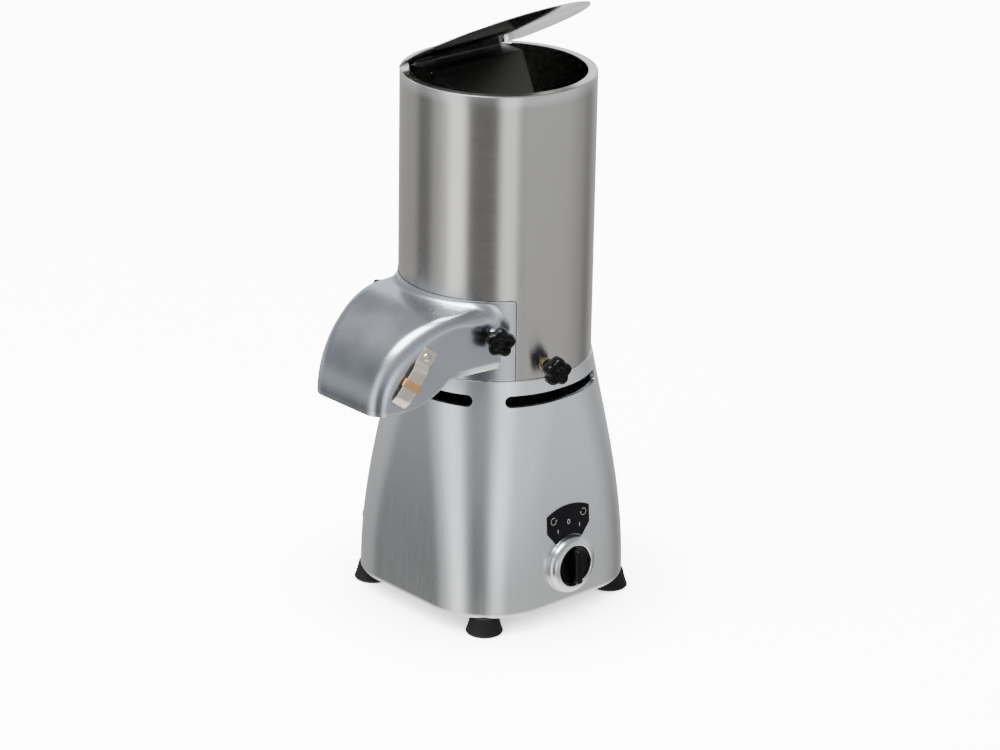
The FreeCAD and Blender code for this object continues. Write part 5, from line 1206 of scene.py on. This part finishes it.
world = bpy.data.worlds.new("studio")
bpy.context.scene.world = world
world.use_nodes = True
sky = world.node_tree
sky.nodes.clear()
parts = add_node(sky, "SeparateXYZ", Vector=add_node(sky, "TexCoord").outputs["Generated"]).outputs
heading = math_node(sky, "ARCTAN2", parts["Y"], parts["X"])
BEHIND_CAMERA = math.atan2(CAMERA_AT.y, CAMERA_AT.x)
turned_heading = math_node(sky, "SUBTRACT", heading, BEHIND_CAMERA)
wrapped = math_node(sky, "WRAP", turned_heading, math.pi, -math.pi)
share = math_node(sky, "MULTIPLY_ADD", wrapped, 0.5 / math.pi, 0.5)
BACKDROP = 16.0
RING_SCALE = 4.0


def light_ring(bands, tint):
    """A ramp of light round the horizon, from (degrees right of the camera, brightness) pairs and a tint."""
    ramp = add_node(sky, "ValToRGB", Fac=share)
    ramp.color_ramp.interpolation = "EASE"
    stops = ramp.color_ramp.elements
    for angle, light in bands:
        spot = (angle + 180) / 360
        stop = stops[0] if angle == -180 else stops[-1] if angle == 180 else stops.new(spot)
        stop.position = spot
        stop.color = (*(light / RING_SCALE * part for part in tint), 1.0)
    return ramp.outputs["Color"]


def climb(low, high):
    """A value that rises smoothly from 0 to 1 between two heights of the view direction."""
    node = add_node(sky, "MapRange", {"interpolation_type": "SMOOTHSTEP"}, Value=parts["Z"], From_Min=low,
                    From_Max=high)
    return node.outputs["Result"]


floor_ring = light_ring([(-180, 2.0), (0, 2.2), (180, 2.0)], (1.0, 0.98, 0.93))
low_ring = light_ring([(-180, 1.1), (-155, 0.45), (-112, 0.42), (-101, 0.10), (-87, 0.10), (-78, 0.42),
                       (-62, 0.62), (-54, 2.1), (-42, 2.1), (-32, 0.08), (1, 0.08), (9, 1.35), (20, 1.35),
                       (27, 0.26), (38, 0.50), (88, 0.52), (112, 0.42), (132, 0.22), (155, 0.5), (180, 1.1)],
                      (1.01, 1.0, 0.98))
wall_ring = light_ring([(-180, 1.5), (-150, 0.9), (-112, 0.8), (-95, 0.55), (-74, 0.75), (-56, 1.9),
                        (-42, 1.9), (-32, 0.22), (-2, 0.22), (9, 2.6), (19, 2.6), (30, 1.15), (88, 1.15),
                        (120, 0.7), (180, 1.5)], (0.97, 1.0, 1.04))
mid_ring = light_ring([(-180, 1.7), (-166, 1.2), (-150, 0.6), (-120, 0.42), (-104, 0.24), (-84, 0.26),
                       (-72, 0.5), (-56, 1.6), (-42, 1.6), (-30, 0.5), (30, 0.6), (90, 0.7), (150, 1.0),
                       (180, 1.7)], (0.98, 1.0, 1.03))
high_ring = light_ring([(-180, 0.32), (-100, 0.28), (0, 0.45), (100, 0.4), (180, 0.32)], (0.98, 1.0, 1.04))
low_part = tinted(sky, climb(-0.33, -0.08), tinted(sky, climb(-0.72, -0.5), floor_ring, low_ring), wall_ring)
high_part = tinted(sky, climb(0.42, 0.56), mid_ring, high_ring)
rings_light = tinted(sky, climb(0.02, 0.15), low_part, high_part)
around = add_node(sky, "VectorMath", {"operation": "SCALE"}, Vector=rings_light, Scale=RING_SCALE).outputs[0]
seen = add_node(sky, "LightPath").outputs["Is Camera Ray"]
glow = add_node(sky, "Background", Color=tinted(sky, seen, around, (BACKDROP, BACKDROP, BACKDROP)))
add_node(sky, "OutputWorld", Surface=glow.outputs["Background"])

BOX_AT, BOX_AIM = Vector((-0.83, 0.18, 2.16)), Vector((0, 0, 0.35))
lamp = bpy.data.lights.new("left_light", "AREA")
lamp.shape = "SQUARE"
lamp.size = 1.4
lamp.energy = 120
soft_box = bpy.data.objects.new("left_light", lamp)
soft_box.matrix_world = seated(BOX_AT, BOX_AT - BOX_AIM, (0, 1, 0))
bpy.context.scene.collection.objects.link(soft_box)
